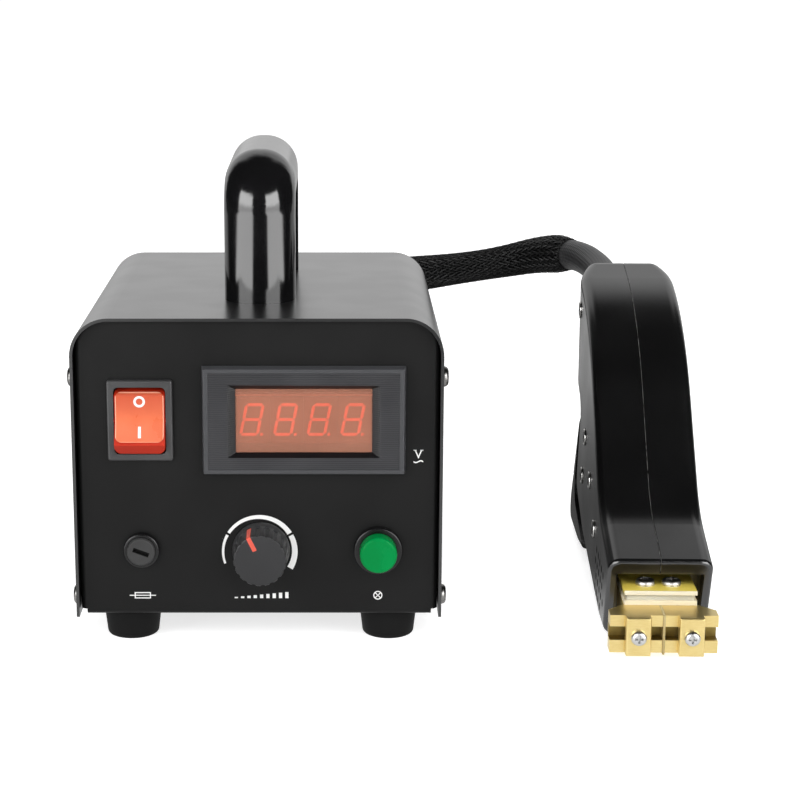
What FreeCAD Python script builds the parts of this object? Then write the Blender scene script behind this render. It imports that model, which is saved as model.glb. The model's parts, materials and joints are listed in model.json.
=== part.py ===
# Electric hot-blade groover: a mains power box with a carrying handle, a braided lead and a handset
# whose nose clamps a bent blade between two brass electrodes. Millimetres, +Z up, front towards -Y.
import FreeCAD
import Part
import math
import os
from FreeCAD import Rotation, Vector

# Cabinet sheet metal
COVER_WIDTH = 144.0
COVER_HEIGHT = 120.0
COVER_DEPTH = 160.0
COVER_CORNER = 15.0
SHEET = 1.2
COVER_GAP = 0.3
PANEL_INSET = 3.0
BEND_RADIUS = 2.4
FLANGE_DEPTH = 18.0
VENT_SLOTS = 5
VENT_LENGTH = 46.0
VENT_WIDTH = 3.0
VENT_PITCH = 7.0
VENT_BELOW_TOP = 22.0

# Cabinet screws and feet
SIDE_SCREW_DIA = 4.0
SIDE_SCREW_LENGTH = 8.0
SIDE_SCREW_HEAD_DIA = 8.0
SIDE_SCREW_INSET = 13.0
SIDE_SCREW_LOW = 5.2
SIDE_SCREW_HIGH = 94.5
FOOT_HEIGHT = 12.5
FOOT_TOP_DIA = 23.4
FOOT_BASE_DIA = 20.4
FOOT_EDGE = 1.5
FOOT_RECESS_DIA = 9.0
FOOT_RECESS_DEPTH = 7.5
FOOT_FROM_SIDE = 20.5
FOOT_FROM_END = 19.0
FOOT_SCREW_DIA = 4.0
FOOT_SCREW_LENGTH = 9.0
HOLE_PLAY = 0.1

# Carrying handle
HANDLE_LENGTH = 100.0
HANDLE_WIDTH = 28.4
HANDLE_HEIGHT = 59.0
HANDLE_LEG = 19.0
HANDLE_BAR = 18.0
HANDLE_CORNER = 24.0
HANDLE_INNER_CORNER = 10.0
HANDLE_ROUND = 13.4
HANDLE_INNER_ROUND = 3.0
HANDLE_SCREW_DIA = 5.0
HANDLE_SCREW_LENGTH = 18.0

# Front panel rows and columns
UPPER_ROW = 79.5
LOWER_ROW = 27.0
SWITCH_FROM_SIDE = 26.5
METER_FROM_SIDE = 54.0
FUSE_FROM_SIDE = 26.0
KNOB_FROM_MIDDLE = 1.0
LAMP_FROM_SIDE = 25.0

# Rocker switch
SWITCH_BEZEL_WIDTH = 25.4
SWITCH_BEZEL_HEIGHT = 32.0
SWITCH_BEZEL_THICK = 2.2
SWITCH_BEZEL_EDGE = 0.8
SWITCH_BODY_WIDTH = 22.4
SWITCH_BODY_HEIGHT = 29.0
SWITCH_BODY_DEPTH = 24.0
ROCKER_WIDTH = 19.6
ROCKER_RADIUS = 13.0
ROCKER_CLEARANCE = 0.3
ROCKER_TILT = 11.0
ROCKER_PIVOT_DEPTH = 1.4
ROCKER_VALLEY = 1.2
ROCKER_BACK = 3.2
ROCKER_FACE = 9.7
ROCKER_LIP = 0.3
ROCKER_CORNER = 2.6
WELL_CORNER = 2.0
TRUNNION_DIA = 2.4
TRUNNION_LENGTH = 0.8
TERMINAL_WIDTH = 6.3
TERMINAL_THICK = 0.8
TERMINAL_LENGTH = 9.0

# Panel voltmeter
METER_WIDTH = 79.0
METER_HEIGHT = 43.0
METER_BEZEL_THICK = 4.0
METER_BEVEL = 0.7
METER_RIM = 2.4
METER_RIM_PROUD = 0.4
METER_BODY_WIDTH = 75.6
METER_BODY_HEIGHT = 38.6
METER_DEPTH = 22.0
METER_WALL = 1.8
RECESS_WIDTH = 58.9
RECESS_HEIGHT = 28.9
RECESS_DEPTH = 2.6
WINDOW_WIDTH = 52.6
WINDOW_HEIGHT = 25.0
WINDOW_THICK = 1.5
WINDOW_LAP = 1.4
DIGIT_COUNT = 4
DIGIT_PITCH = 12.9
DIGIT_DEPTH = 7.0
DIGIT_BLOCK_HEIGHT = 19.0
BOARD_THICK = 1.6

# Fuse holder
FUSE_FLANGE_DIA = 14.2
FUSE_FLANGE_THICK = 2.6
FUSE_BODY_DIA = 11.8
FUSE_BODY_LENGTH = 30.0
FUSE_CAP_DIA = 11.0
FUSE_CAP_PROUD = 1.8
FUSE_CAP_SEAT = 2.0
FUSE_STEM_DIA = 7.6
FUSE_STEM_LENGTH = 8.0
FUSE_SLOT_LENGTH = 6.2
FUSE_SLOT_WIDTH = 1.3
FUSE_SLOT_DEPTH = 1.0
FUSE_SLOT_TURN = 20.0
FUSE_DIA = 5.2
FUSE_LENGTH = 20.0
FUSE_CAP_PLAY = 0.1
FUSE_NUT_FLATS = 16.0
FUSE_NUT_THICK = 3.0

# Voltage control
POT_DIA = 17.0
POT_DEPTH = 10.0
BUSHING_DIA = 7.0
BUSHING_PROUD = 4.0
SHAFT_DIA = 6.0
SHAFT_PROUD = 13.0
SHAFT_PLAY = 0.05
POT_NUT_FLATS = 10.0
POT_NUT_THICK = 2.2
KNOB_SKIRT_DIA = 22.6
KNOB_SKIRT_THICK = 3.0
KNOB_SKIRT_RIM = 0.8
KNOB_BASE_DIA = 21.0
KNOB_FACE_DIA = 20.6
KNOB_HEIGHT = 14.3
KNOB_STANDOFF = 0.8
KNOB_EDGE = 0.6
KNOB_FLUTES = 18
KNOB_FLUTE_DIA = 2.4
KNOB_NUT_ROOM = 0.6
POINTER_WIDTH = 1.7
POINTER_DEPTH = 0.9
POINTER_INNER = 4.4
POINTER_TURN = 26.0

# Pilot lamp
LAMP_BEZEL_DIA = 19.2
LAMP_BEZEL_THICK = 3.0
LAMP_BARREL_DIA = 16.2
LAMP_LENGTH = 22.0
LENS_DIA = 14.5
LENS_PROUD = 6.0
LENS_EDGE = 1.2
LENS_STEM_LENGTH = 6.0
LENS_PLAY = 0.15
LAMP_NUT_FLATS = 21.5
LAMP_NUT_THICK = 3.0

# Transformer and control board
CORE_WIDTH = 96.0
CORE_HEIGHT = 80.0
CORE_STACK = 46.0
CORE_LIMB = 16.0
CORE_FROM_FRONT = 100.0
COIL_OVERHANG = 12.0
COIL_PLAY = 0.3
COIL_ROUND = 8.0
STRAP_THICK = 1.5
STRAP_WIDTH = 20.0
STRAP_FOOT = 12.0
STRAP_SCREW_DIA = 4.0
STRAP_SCREW_LENGTH = 7.0
BOARD_WIDTH = 58.0
BOARD_DEPTH = 26.0
BOARD_FROM_SIDE = 8.0
BOARD_FROM_FRONT = 36.0
STANDOFF_HEIGHT = 6.0
STANDOFF_DIA = 6.0
STANDOFF_INSET = 5.0
SINK_WIDTH = 18.0
SINK_HEIGHT = 22.0
SINK_DEPTH = 14.0
SINK_FINS = 5
SINK_BASE = 3.0
SINK_FIN_THICK = 1.4

# Rear glands
LEAD_GLAND_FROM_SIDE = 26.0
LEAD_GLAND_HEIGHT = 32.5
LEAD_GLAND_THREAD_DIA = 24.0
LEAD_GLAND_FLATS = 30.0
LEAD_GLAND_DOME = 20.0
MAINS_GLAND_FROM_SIDE = 26.0
MAINS_GLAND_HEIGHT = 32.5
MAINS_GLAND_THREAD_DIA = 16.0
MAINS_GLAND_FLATS = 20.0
MAINS_GLAND_DOME = 16.0
MAINS_BORE_DIA = 8.0
GLAND_COLLAR = 5.0
GLAND_NUT_THICK = 5.0
GLAND_THREAD_INSIDE = 8.0

# Handset housing, in its own frame: X across, Y back from the electrodes' front face, Z up
HANDSET_X = 157.9
HANDSET_Y = -14.0
HANDSET_YAW = 1.5
SHELL_WIDTH = 41.5
SHELL_WALL = 2.6
NOSE_TOP_WALL = 6.6
NOSE_SIDE_WALL = 3.35
SHELL_EDGE = 5.0
RIM_EDGE = 1.6
PARTING_EDGE = 0.3
RIM_TOP = (13.5, 35.7)
NECK_BEND = (52.5, 46.5, 45.0)
BACK_BEND = (115.1, 116.0, 121.0)
TAIL_TOP = (180.0, 129.6, 8.0)
TAIL_FOOT = (179.0, 79.0, 9.0)
TAIL_TAPER = (169.0, 45.0)
TAIL_END = (184.0, 10.5)
WAIST = (144.5, 65.5, 6.0)
HEEL = (157.5, 26.5, 11.0)
BELLY = (120.0, 12.5, 50.0)
CHIN = (45.0, 0.0, 60.0)
RIM_FOOT = (28.0, 0.0)
SHELL_SCREWS = ((153.5, 109.4), (118.4, 59.1), (126.6, 39.5), (94.2, 46.2), (71.6, 31.3))
SHELL_SCREW_DIA = 3.0
SHELL_SCREW_HEAD_DIA = 7.2
SHELL_SCREW_HEAD = 1.7
SHELL_SCREW_SINK = 1.1
SHELL_SCREW_ROOM = 0.4
PIT_DIA = 3.2
PIT_DEPTH = 1.4
PIT_FIRST = (31.7, 23.6)
PIT_PITCH = 6.4
PIT_ROW = 5.8
PIT_LEAN = 0.115
PIT_COLUMNS = 5
PIT_ROWS = 4
PIT_LOWEST = 6.8
BOSS_DIA = 8.0
BOSS_CLEARANCE = 0.4

# Trigger paddle and its switch
TRIGGER_TIP = (147.6, 62.6)
TRIGGER_BACK = (178.6, 18.0, 32.0)
TRIGGER_HEEL = (183.8, 4.0, 6.5)
TRIGGER_SOLE = (142.0, 4.2, 40.0)
TRIGGER_TOE = (122.0, 6.6)
TRIGGER_TOE_TOP = (122.0, 9.4)
TRIGGER_CRADLE_LOW = (158.0, 17.6, 8.0)
TRIGGER_CRADLE = (164.0, 25.0, 10.0)
TRIGGER_CRADLE_TOP = (149.4, 57.0)
TRIGGER_SIDE_GAP = 0.2
TRIGGER_EDGE = 2.0
TRIGGER_DIMPLE = (168.4, 27.0)
TRIGGER_DIMPLE_DIA = 4.6
TRIGGER_DIMPLE_DEPTH = 1.4
TRIGGER_WALL = 2.6
TRIGGER_PIVOT = (138.6, 57.0)
TRIGGER_PIN_DIA = 4.0
TRIGGER_PIN_PLAY = 0.05
TRIGGER_EYE_DIA = 9.0
TONGUE_WIDTH = 10.0
TONGUE_SLOT_PLAY = 1.5
NIB_HEIGHT = 36.0
NIB_SIZE = 5.0
SWITCH_BOX_LENGTH = 27.8
SWITCH_BOX_DEPTH = 15.9
SWITCH_BOX_WIDTH = 10.3
SWITCH_HOLE_INSET = 2.9
SWITCH_HOLE_ALONG = 5.0
PLUNGER_DIA = 3.2
PLUNGER_PROUD = 1.6
PLUNGER_INSIDE = 2.0
NIB_GAP = 0.1
SPRING_WIRE = 0.8
SPRING_TURNS = 3.0
SPRING_PITCH = 1.1
SPRING_PLAY = 0.3

# Brass head, in the handset's frame
HEAD_WIDTH = 42.0
HEAD_BASE = 2.7
HEAD_HEIGHT = 15.3
HEAD_DEPTH = 6.8
GROOVE_HEIGHT = 5.6
GROOVE_DEPTH = 5.4
GROOVE_LOW = 5.1
FLARE_END = 13.0
NECK_WIDTH = 29.0
NECK_BASE = 6.0
NECK_LENGTH = 60.0
INSULATOR_THICK = 1.0
INSULATOR_PROUD = 0.6
CLAMP_WIDTH = 9.7
CLAMP_HEIGHT = 15.7
CLAMP_THICK = 4.8
CLAMP_OFFSET = 10.3
CLAMP_EDGE = 0.5
CLAMP_SCREW_DIA = 3.0
CLAMP_SCREW_LENGTH = 13.0
CLAMP_SCREW_HEAD_DIA = 6.2
CLAMP_SCREW_HEAD = 2.4
CLAMP_SCREW_PLAY = 0.08
STACK_FRONT = 12.0
STACK_LENGTH = 36.0
STACK_WIDTH = 28.6
BASE_LAYER = 1.9
MIDDLE_LAYER = 2.2
MIDDLE_INSET = 1.0
TOP_LAYER = 1.7
STACK_SCREW_DIA = 4.0
STACK_SCREW_HEAD_DIA = 7.7
STACK_SCREW_HEAD = 2.2
STACK_SCREW_LENGTH = 14.0
STACK_SCREW_SPACING = 10.4
STACK_SCREW_FROM_FRONT = 9.2
SADDLE_FRONT = 34.0
SADDLE_LENGTH = 22.0
SADDLE_PLAY = 0.1
LUG_WIDTH = 11.0
LUG_THICK = 2.0
LUG_LENGTH = 20.0
LUG_BARREL_DIA = 9.0
LUG_BARREL_LENGTH = 14.0

# Lead between the box and the handset; the loop is X, distance behind the cover, height of the centre
LEAD_DIA = 16.5
LEAD_PLAY = 0.2
LEAD_REST = 0.2
LEAD_IN_GLAND = 22.0
LEAD_LOOP = ((-55.0, 87.0, 33.0), (-49.0, 129.0, 15.5), (-20.0, 164.0, 0.0), (24.0, 170.0, 0.0),
             (63.0, 146.0, 0.0), (78.0, 102.0, 0.0), (62.0, 57.0, 0.0), (21.0, 33.0, 0.0),
             (-27.0, 40.0, 0.0), (-66.0, 61.0, 13.5), (-83.0, 98.0, 28.0), (-74.0, 138.0, 45.0),
             (-43.0, 165.0, 62.0), (-4.0, 171.0, 77.0), (33.0, 163.0, 88.0), (63.0, 154.5, 95.0),
             (92.0, 147.5, 99.6), (117.7, 140.7, 104.6), (139.6, 129.3, 111.3), (155.4, 110.4, 113.8),
             (162.8, 86.9, 110.6))
SLEEVE_DIA = 14.0
SLEEVE_INSIDE = 12.0
SLEEVE_HEIGHT = 103.5
SLEEVE_RISE = ((11.0, 0.0), (34.0, 1.0), (57.5, 3.6))
SLEEVE_BENDS = 5

# Derived places shared by several pieces
HALF_WIDTH = COVER_WIDTH / 2
BASE_Z = FOOT_HEIGHT
TOP_Z = BASE_Z + COVER_HEIGHT
PANEL_Y = PANEL_INSET
PANEL_BACK = PANEL_INSET + SHEET
REAR_Y = COVER_DEPTH - PANEL_INSET
FLOOR_TOP = BASE_Z + SHEET
UPPER_Z = BASE_Z + UPPER_ROW
LOWER_Z = BASE_Z + LOWER_ROW
SWITCH_X = -HALF_WIDTH + SWITCH_FROM_SIDE
METER_X = HALF_WIDTH - METER_FROM_SIDE
FUSE_X = -HALF_WIDTH + FUSE_FROM_SIDE
LAMP_X = HALF_WIDTH - LAMP_FROM_SIDE
KNOB_X = KNOB_FROM_MIDDLE
LEAD_GLAND_X = -HALF_WIDTH + LEAD_GLAND_FROM_SIDE
LEAD_GLAND_Z = BASE_Z + LEAD_GLAND_HEIGHT
MAINS_GLAND_X = HALF_WIDTH - MAINS_GLAND_FROM_SIDE
MAINS_GLAND_Z = BASE_Z + MAINS_GLAND_HEIGHT
SHELL_HALF = SHELL_WIDTH / 2
GROOVE_Z = HEAD_BASE + GROOVE_LOW
HEAD_TOP = HEAD_BASE + HEAD_HEIGHT
CLAMP_Z = GROOVE_Z + GROOVE_HEIGHT / 2
ACROSS = Vector(1, 0, 0)
BACK = Vector(0, 1, 0)
FRONT = Vector(0, -1, 0)
UP = Vector(0, 0, 1)
DOWN = Vector(0, 0, -1)


# Small helpers

def box(x0, x1, y0, y1, z0, z1):
    """Block between two corners."""
    return Part.makeBox(x1 - x0, y1 - y0, z1 - z0, Vector(x0, y0, z0))


def rod(start, direction, dia, length):
    """Round bar from a start point."""
    return Part.makeCylinder(dia / 2, length, start, direction)


def line_cross(p, d, q, e):
    """Point where two lines in a plane meet."""
    span = d[0] * e[1] - d[1] * e[0]
    t = ((q[0] - p[0]) * e[1] - (q[1] - p[1]) * e[0]) / span
    return (p[0] + t * d[0], p[1] + t * d[1])


def corner_wire(corners, to_space):
    """Closed wire of straight runs joined by tangent arcs; a corner is (u, v) or (u, v, radius)."""
    count = len(corners)
    starts, ends, arcs = [], [], []
    for i, corner in enumerate(corners):
        here = Vector(corner[0], corner[1], 0)
        radius = corner[2] if len(corner) > 2 else 0.0
        before = Vector(corners[i - 1][0], corners[i - 1][1], 0) - here
        after = Vector(corners[(i + 1) % count][0], corners[(i + 1) % count][1], 0) - here
        before.normalize()
        after.normalize()
        half = before.getAngle(after) / 2
        if radius <= 0 or half > 1.5:
            starts.append(here)
            ends.append(here)
            arcs.append(None)
            continue
        reach = radius / math.tan(half)
        middle = before + after
        middle.normalize()
        starts.append(here + before * reach)
        ends.append(here + after * reach)
        arcs.append(here + middle * (radius / math.sin(half) - radius))
    edges = []
    for i in range(count):
        if arcs[i] is not None:
            points = [to_space(p.x, p.y) for p in (starts[i], arcs[i], ends[i])]
            edges.append(Part.Arc(*points).toShape())
        a = to_space(ends[i].x, ends[i].y)
        b = to_space(starts[(i + 1) % count].x, starts[(i + 1) % count].y)
        if (b - a).Length > 1e-6:
            edges.append(Part.LineSegment(a, b).toShape())
    return Part.Wire(edges)


def front_prism(corners, y0, y1):
    """Solid with its outline in X and Z."""
    face = Part.Face(corner_wire(corners, lambda x, z: Vector(x, y0, z)))
    return face.extrude(Vector(0, y1 - y0, 0))


def side_prism(corners, x0, x1):
    """Solid with its outline in Y and Z."""
    face = Part.Face(corner_wire(corners, lambda y, z: Vector(x0, y, z)))
    return face.extrude(Vector(x1 - x0, 0, 0))


def plan_prism(corners, z0, z1):
    """Solid with its outline in X and Y."""
    face = Part.Face(corner_wire(corners, lambda x, y: Vector(x, y, z0)))
    return face.extrude(Vector(0, 0, z1 - z0))


def rectangle(u, v, width, height, radius=0.0):
    """Corners of a rectangle about a centre."""
    w, h = width / 2, height / 2
    return [(u - w, v - h, radius), (u + w, v - h, radius), (u + w, v + h, radius), (u - w, v + h, radius)]


def frustum(u, v, size0, y0, size1, y1):
    """Four-sided taper between two rectangles in X and Z."""
    wires = []
    for (width, height), y in ((size0, y0), (size1, y1)):
        wires.append(corner_wire(rectangle(u, v, width, height), lambda a, b, y=y: Vector(a, y, b)))
    return Part.makeLoft(wires, True, True)


def turned(corners):
    """Solid of revolution about Z from an outline of radius and height."""
    face = Part.Face(corner_wire(corners, lambda r, z: Vector(r, 0, z)))
    return face.revolve(Vector(0, 0, 0), UP, 360)


def aim(shape, place, direction):
    """Turn a solid made along +Z to a direction and set it at a place."""
    turn = Rotation(UP, direction)
    moved = shape.copy()
    moved.rotate(Vector(0, 0, 0), turn.Axis, math.degrees(turn.Angle))
    moved.translate(place)
    return moved


def pan_screw(dia, length, head_dia, head):
    """Cross-recess pan-head screw: seat at the origin, head up, shank down."""
    body = turned([(0, -length), (dia / 2, -length), (dia / 2, 0), (head_dia / 2, 0),
                   (head_dia / 2, head, head * 0.7), (0, head)])
    arm, slot, depth = head_dia * 0.28, head_dia * 0.13, head * 0.55
    for x, y in ((arm, slot / 2), (slot / 2, arm)):
        body = body.cut(box(-x, x, -y, y, head - depth, head + 1))
    return body


def hexagon(flats, thick, bore_dia):
    """Hexagonal ring from z = 0 upwards."""
    corner = flats / math.sqrt(3)
    points = []
    for i in range(6):
        angle = math.radians(60 * i + 30)
        points.append((corner * math.cos(angle), corner * math.sin(angle)))
    nut = plan_prism(points, 0, thick)
    return nut.cut(rod(Vector(0, 0, -1), UP, bore_dia, thick + 2))


def joined(shapes):
    """One solid from several that meet."""
    result = shapes[0]
    for shape in shapes[1:]:
        result = result.fuse(shape)
    return result.removeSplitter()


def group(shapes):
    """Separate solids kept in one node."""
    return Part.makeCompound(shapes)


def edges_where(shape, test):
    """Edges that pass a test."""
    return [edge for edge in shape.Edges if test(edge)]


# Cabinet

def side_screw_places():
    """Seats of the cover's side screws: point on the cover and outward direction."""
    places = []
    for side in (-1, 1):
        for y in (SIDE_SCREW_INSET, COVER_DEPTH - SIDE_SCREW_INSET):
            for height in (SIDE_SCREW_LOW, SIDE_SCREW_HIGH):
                places.append((Vector(side * HALF_WIDTH, y, BASE_Z + height), Vector(side, 0, 0)))
    return places


def foot_places():
    """Centres of the feet under the chassis."""
    places = []
    for x in (-HALF_WIDTH + FOOT_FROM_SIDE, HALF_WIDTH - FOOT_FROM_SIDE):
        for y in (FOOT_FROM_END, COVER_DEPTH - FOOT_FROM_END):
            places.append(Vector(x, y, BASE_Z))
    return places


def handle_ends():
    """First and last Y of the handle, centred on the cover."""
    middle = COVER_DEPTH / 2
    return middle - HANDLE_LENGTH / 2, middle + HANDLE_LENGTH / 2


def handle_screw_places():
    """Screw axes under the handle's legs, at the underside of the cover's top."""
    first, last = handle_ends()
    z = TOP_Z - SHEET
    return [Vector(0, first + HANDLE_LEG / 2, z), Vector(0, last - HANDLE_LEG / 2, z)]


def make_top_cover():
    """Inverted U of bent sheet with rounded shoulders."""
    w, s = HALF_WIDTH, SHEET
    outline = [(-w, BASE_Z), (-w, TOP_Z, COVER_CORNER), (w, TOP_Z, COVER_CORNER), (w, BASE_Z),
               (w - s, BASE_Z), (w - s, TOP_Z - s, COVER_CORNER - s),
               (-w + s, TOP_Z - s, COVER_CORNER - s), (-w + s, BASE_Z)]
    cover = front_prism(outline, 0, COVER_DEPTH)
    for seat, outward in side_screw_places():
        hole = rod(seat + outward, outward * -1, SIDE_SCREW_DIA + 2 * HOLE_PLAY, SHEET + 2)
        cover = cover.cut(hole)
    for place in handle_screw_places():
        cover = cover.cut(rod(place - UP, UP, HANDLE_SCREW_DIA + 2 * HOLE_PLAY, SHEET + 2))
    return cover


def channel(front, back, flange):
    """Upright panel with its side edges bent; flange is the signed Y reach of the bends."""
    half = HALF_WIDTH - SHEET - COVER_GAP
    outer, inner = BEND_RADIUS, BEND_RADIUS - SHEET
    outline = [(-half, front + flange), (-half, front, outer), (half, front, outer), (half, front + flange),
               (half - SHEET, front + flange), (half - SHEET, back, inner),
               (-half + SHEET, back, inner), (-half + SHEET, front + flange)]
    return plan_prism(outline, BASE_Z + BEND_RADIUS, TOP_Z - SHEET - COVER_GAP)


def make_chassis():
    """Front panel, floor and rear panel in one bent sheet, with side flanges."""
    half = HALF_WIDTH - SHEET - COVER_GAP
    top = TOP_Z - SHEET - COVER_GAP
    fit_corner = COVER_CORNER - SHEET - COVER_GAP
    front = channel(PANEL_Y, PANEL_BACK, FLANGE_DEPTH)
    rear = channel(REAR_Y, REAR_Y - SHEET, -FLANGE_DEPTH)
    upstand = BASE_Z + 4 * BEND_RADIUS
    r = BEND_RADIUS
    floor = [(PANEL_Y, upstand), (PANEL_Y, BASE_Z, r), (REAR_Y, BASE_Z, r), (REAR_Y, upstand),
             (REAR_Y - SHEET, upstand), (REAR_Y - SHEET, FLOOR_TOP, r - SHEET),
             (PANEL_BACK, FLOOR_TOP, r - SHEET), (PANEL_BACK, upstand)]
    tray = side_prism(floor, -half + BEND_RADIUS, half - BEND_RADIUS)
    chassis = joined([front, tray, rear])
    envelope = [(-half, BASE_Z), (half, BASE_Z), (half, top, fit_corner), (-half, top, fit_corner)]
    chassis = chassis.common(front_prism(envelope, 0, COVER_DEPTH))
    for cut in chassis_cuts():
        chassis = chassis.cut(cut)
    return chassis


def chassis_cuts():
    """Everything that passes through the chassis."""
    y0, y1 = PANEL_Y - 1, PANEL_BACK + 1
    cuts = [front_prism(rectangle(SWITCH_X, UPPER_Z, SWITCH_BODY_WIDTH + 2 * COVER_GAP,
                                  SWITCH_BODY_HEIGHT + 2 * COVER_GAP), y0, y1),
            front_prism(rectangle(METER_X, UPPER_Z, METER_BODY_WIDTH + 2 * COVER_GAP,
                                  METER_BODY_HEIGHT + 2 * COVER_GAP), y0, y1)]
    holes = ((FUSE_X, FUSE_BODY_DIA), (KNOB_X, BUSHING_DIA), (LAMP_X, LAMP_BARREL_DIA))
    for x, dia in holes:
        cuts.append(rod(Vector(x, y0, LOWER_Z), BACK, dia + 2 * HOLE_PLAY, SHEET + 2))
    rear = REAR_Y - SHEET - 1
    glands = ((LEAD_GLAND_X, LEAD_GLAND_Z, LEAD_GLAND_THREAD_DIA),
              (MAINS_GLAND_X, MAINS_GLAND_Z, MAINS_GLAND_THREAD_DIA))
    for x, z, dia in glands:
        cuts.append(rod(Vector(x, rear, z), BACK, dia + 2 * HOLE_PLAY, SHEET + 2))
    for i in range(VENT_SLOTS):
        z = TOP_Z - VENT_BELOW_TOP - i * VENT_PITCH
        slot = rectangle(0, z, VENT_LENGTH, VENT_WIDTH, VENT_WIDTH * 0.49)
        cuts.append(front_prism(slot, rear, rear + SHEET + 2))
    for seat, outward in side_screw_places():
        inside = seat - outward * (SHEET + COVER_GAP - 0.1)
        cuts.append(rod(inside, outward * -1, SIDE_SCREW_DIA + 2 * HOLE_PLAY, SHEET + 1))
    for place in foot_places():
        cuts.append(rod(place - UP, UP, FOOT_SCREW_DIA + 2 * HOLE_PLAY, SHEET + 2))
    for place in strap_screw_places():
        cuts.append(rod(place - UP * (SHEET + STRAP_THICK + 1), UP, STRAP_SCREW_DIA + 2 * HOLE_PLAY,
                        SHEET + STRAP_THICK + 2))
    return cuts


def make_cover_screws():
    """Pan-head screws through the cover's sides."""
    head = SIDE_SCREW_HEAD_DIA * 0.3
    screw = pan_screw(SIDE_SCREW_DIA, SIDE_SCREW_LENGTH, SIDE_SCREW_HEAD_DIA, head)
    return group([aim(screw, seat, outward) for seat, outward in side_screw_places()])


def make_rubber_feet():
    """Tapered feet with a recess for the screw head."""
    foot = turned([(0, -FOOT_HEIGHT), (FOOT_BASE_DIA / 2, -FOOT_HEIGHT, FOOT_EDGE), (FOOT_TOP_DIA / 2, 0),
                   (0, 0)])
    foot = foot.cut(rod(Vector(0, 0, -FOOT_HEIGHT - 1), UP, FOOT_RECESS_DIA, FOOT_RECESS_DEPTH + 1))
    foot = foot.cut(rod(Vector(0, 0, -FOOT_HEIGHT), UP, FOOT_SCREW_DIA + 2 * HOLE_PLAY, FOOT_HEIGHT + 1))
    feet = []
    for place in foot_places():
        copy = foot.copy()
        copy.translate(place)
        feet.append(copy)
    return group(feet)


def make_foot_screws():
    """Screws up through the feet into the chassis floor."""
    screw = pan_screw(FOOT_SCREW_DIA, FOOT_SCREW_LENGTH, FOOT_RECESS_DIA * 0.8, FOOT_RECESS_DEPTH * 0.35)
    seat = UP * (FOOT_RECESS_DEPTH - FOOT_HEIGHT)
    return group([aim(screw, place + seat, DOWN) for place in foot_places()])


def make_carry_handle():
    """Moulded arch with a rounded outside and a finger gap."""
    first, last = handle_ends()
    top = TOP_Z + HANDLE_HEIGHT
    half = HANDLE_WIDTH / 2
    outer = [(first, TOP_Z), (first, top, HANDLE_CORNER), (last, top, HANDLE_CORNER), (last, TOP_Z)]
    arch = side_prism(outer, -half, half)
    rims = edges_where(arch, lambda e: abs(abs(e.CenterOfMass.x) - half) < 1e-3
                       and e.CenterOfMass.z > TOP_Z + 0.01)
    arch = arch.makeFillet(HANDLE_ROUND, rims)
    gap_top = top - HANDLE_BAR
    inner = [(first + HANDLE_LEG, TOP_Z - 1), (first + HANDLE_LEG, gap_top, HANDLE_INNER_CORNER),
             (last - HANDLE_LEG, gap_top, HANDLE_INNER_CORNER), (last - HANDLE_LEG, TOP_Z - 1)]
    arch = arch.cut(side_prism(inner, -half - 1, half + 1))
    for place in handle_screw_places():
        depth = HANDLE_SCREW_LENGTH + 1
        arch = arch.cut(rod(place, UP, HANDLE_SCREW_DIA + 2 * HOLE_PLAY, depth))
    return arch


def make_handle_screws():
    """Screws from inside the cover up into the handle's legs."""
    screw = pan_screw(HANDLE_SCREW_DIA, HANDLE_SCREW_LENGTH, HANDLE_SCREW_DIA * 1.9, HANDLE_SCREW_DIA * 0.6)
    return group([aim(screw, place, DOWN) for place in handle_screw_places()])


# Rocker switch

def rocker_pivot():
    """Point on the rocker's axis."""
    return Vector(SWITCH_X, PANEL_Y - SWITCH_BEZEL_THICK + ROCKER_PIVOT_DEPTH, UPPER_Z)


def make_switch_body():
    """Snap-in housing with its bezel and the well that the rocker moves in."""
    front = PANEL_Y - SWITCH_BEZEL_THICK
    outline = rectangle(SWITCH_X, UPPER_Z, SWITCH_BEZEL_WIDTH, SWITCH_BEZEL_HEIGHT, 1.0)
    bezel = front_prism(outline, front, PANEL_Y)
    rim = edges_where(bezel, lambda e: abs(e.CenterOfMass.y - front) < 1e-3)
    bezel = bezel.makeFillet(SWITCH_BEZEL_EDGE, rim)
    body = front_prism(rectangle(SWITCH_X, UPPER_Z, SWITCH_BODY_WIDTH, SWITCH_BODY_HEIGHT),
                       PANEL_Y, PANEL_Y + SWITCH_BODY_DEPTH)
    housing = joined([bezel, body])
    pivot = rocker_pivot()
    width = ROCKER_WIDTH + 2 * ROCKER_CLEARANCE
    height = 2 * (ROCKER_RADIUS + ROCKER_CLEARANCE)
    swing = ROCKER_RADIUS * math.sin(math.radians(2 * ROCKER_TILT)) + ROCKER_BACK + ROCKER_CLEARANCE
    well = front_prism(rectangle(SWITCH_X, UPPER_Z, width, height, WELL_CORNER), front - 1, pivot.y + swing)
    housing = housing.cut(well)
    reach = width / 2 + TRUNNION_LENGTH
    bore = rod(pivot - ACROSS * reach, ACROSS, TRUNNION_DIA + 2 * SHAFT_PLAY, 2 * reach)
    return housing.cut(bore)


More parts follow.
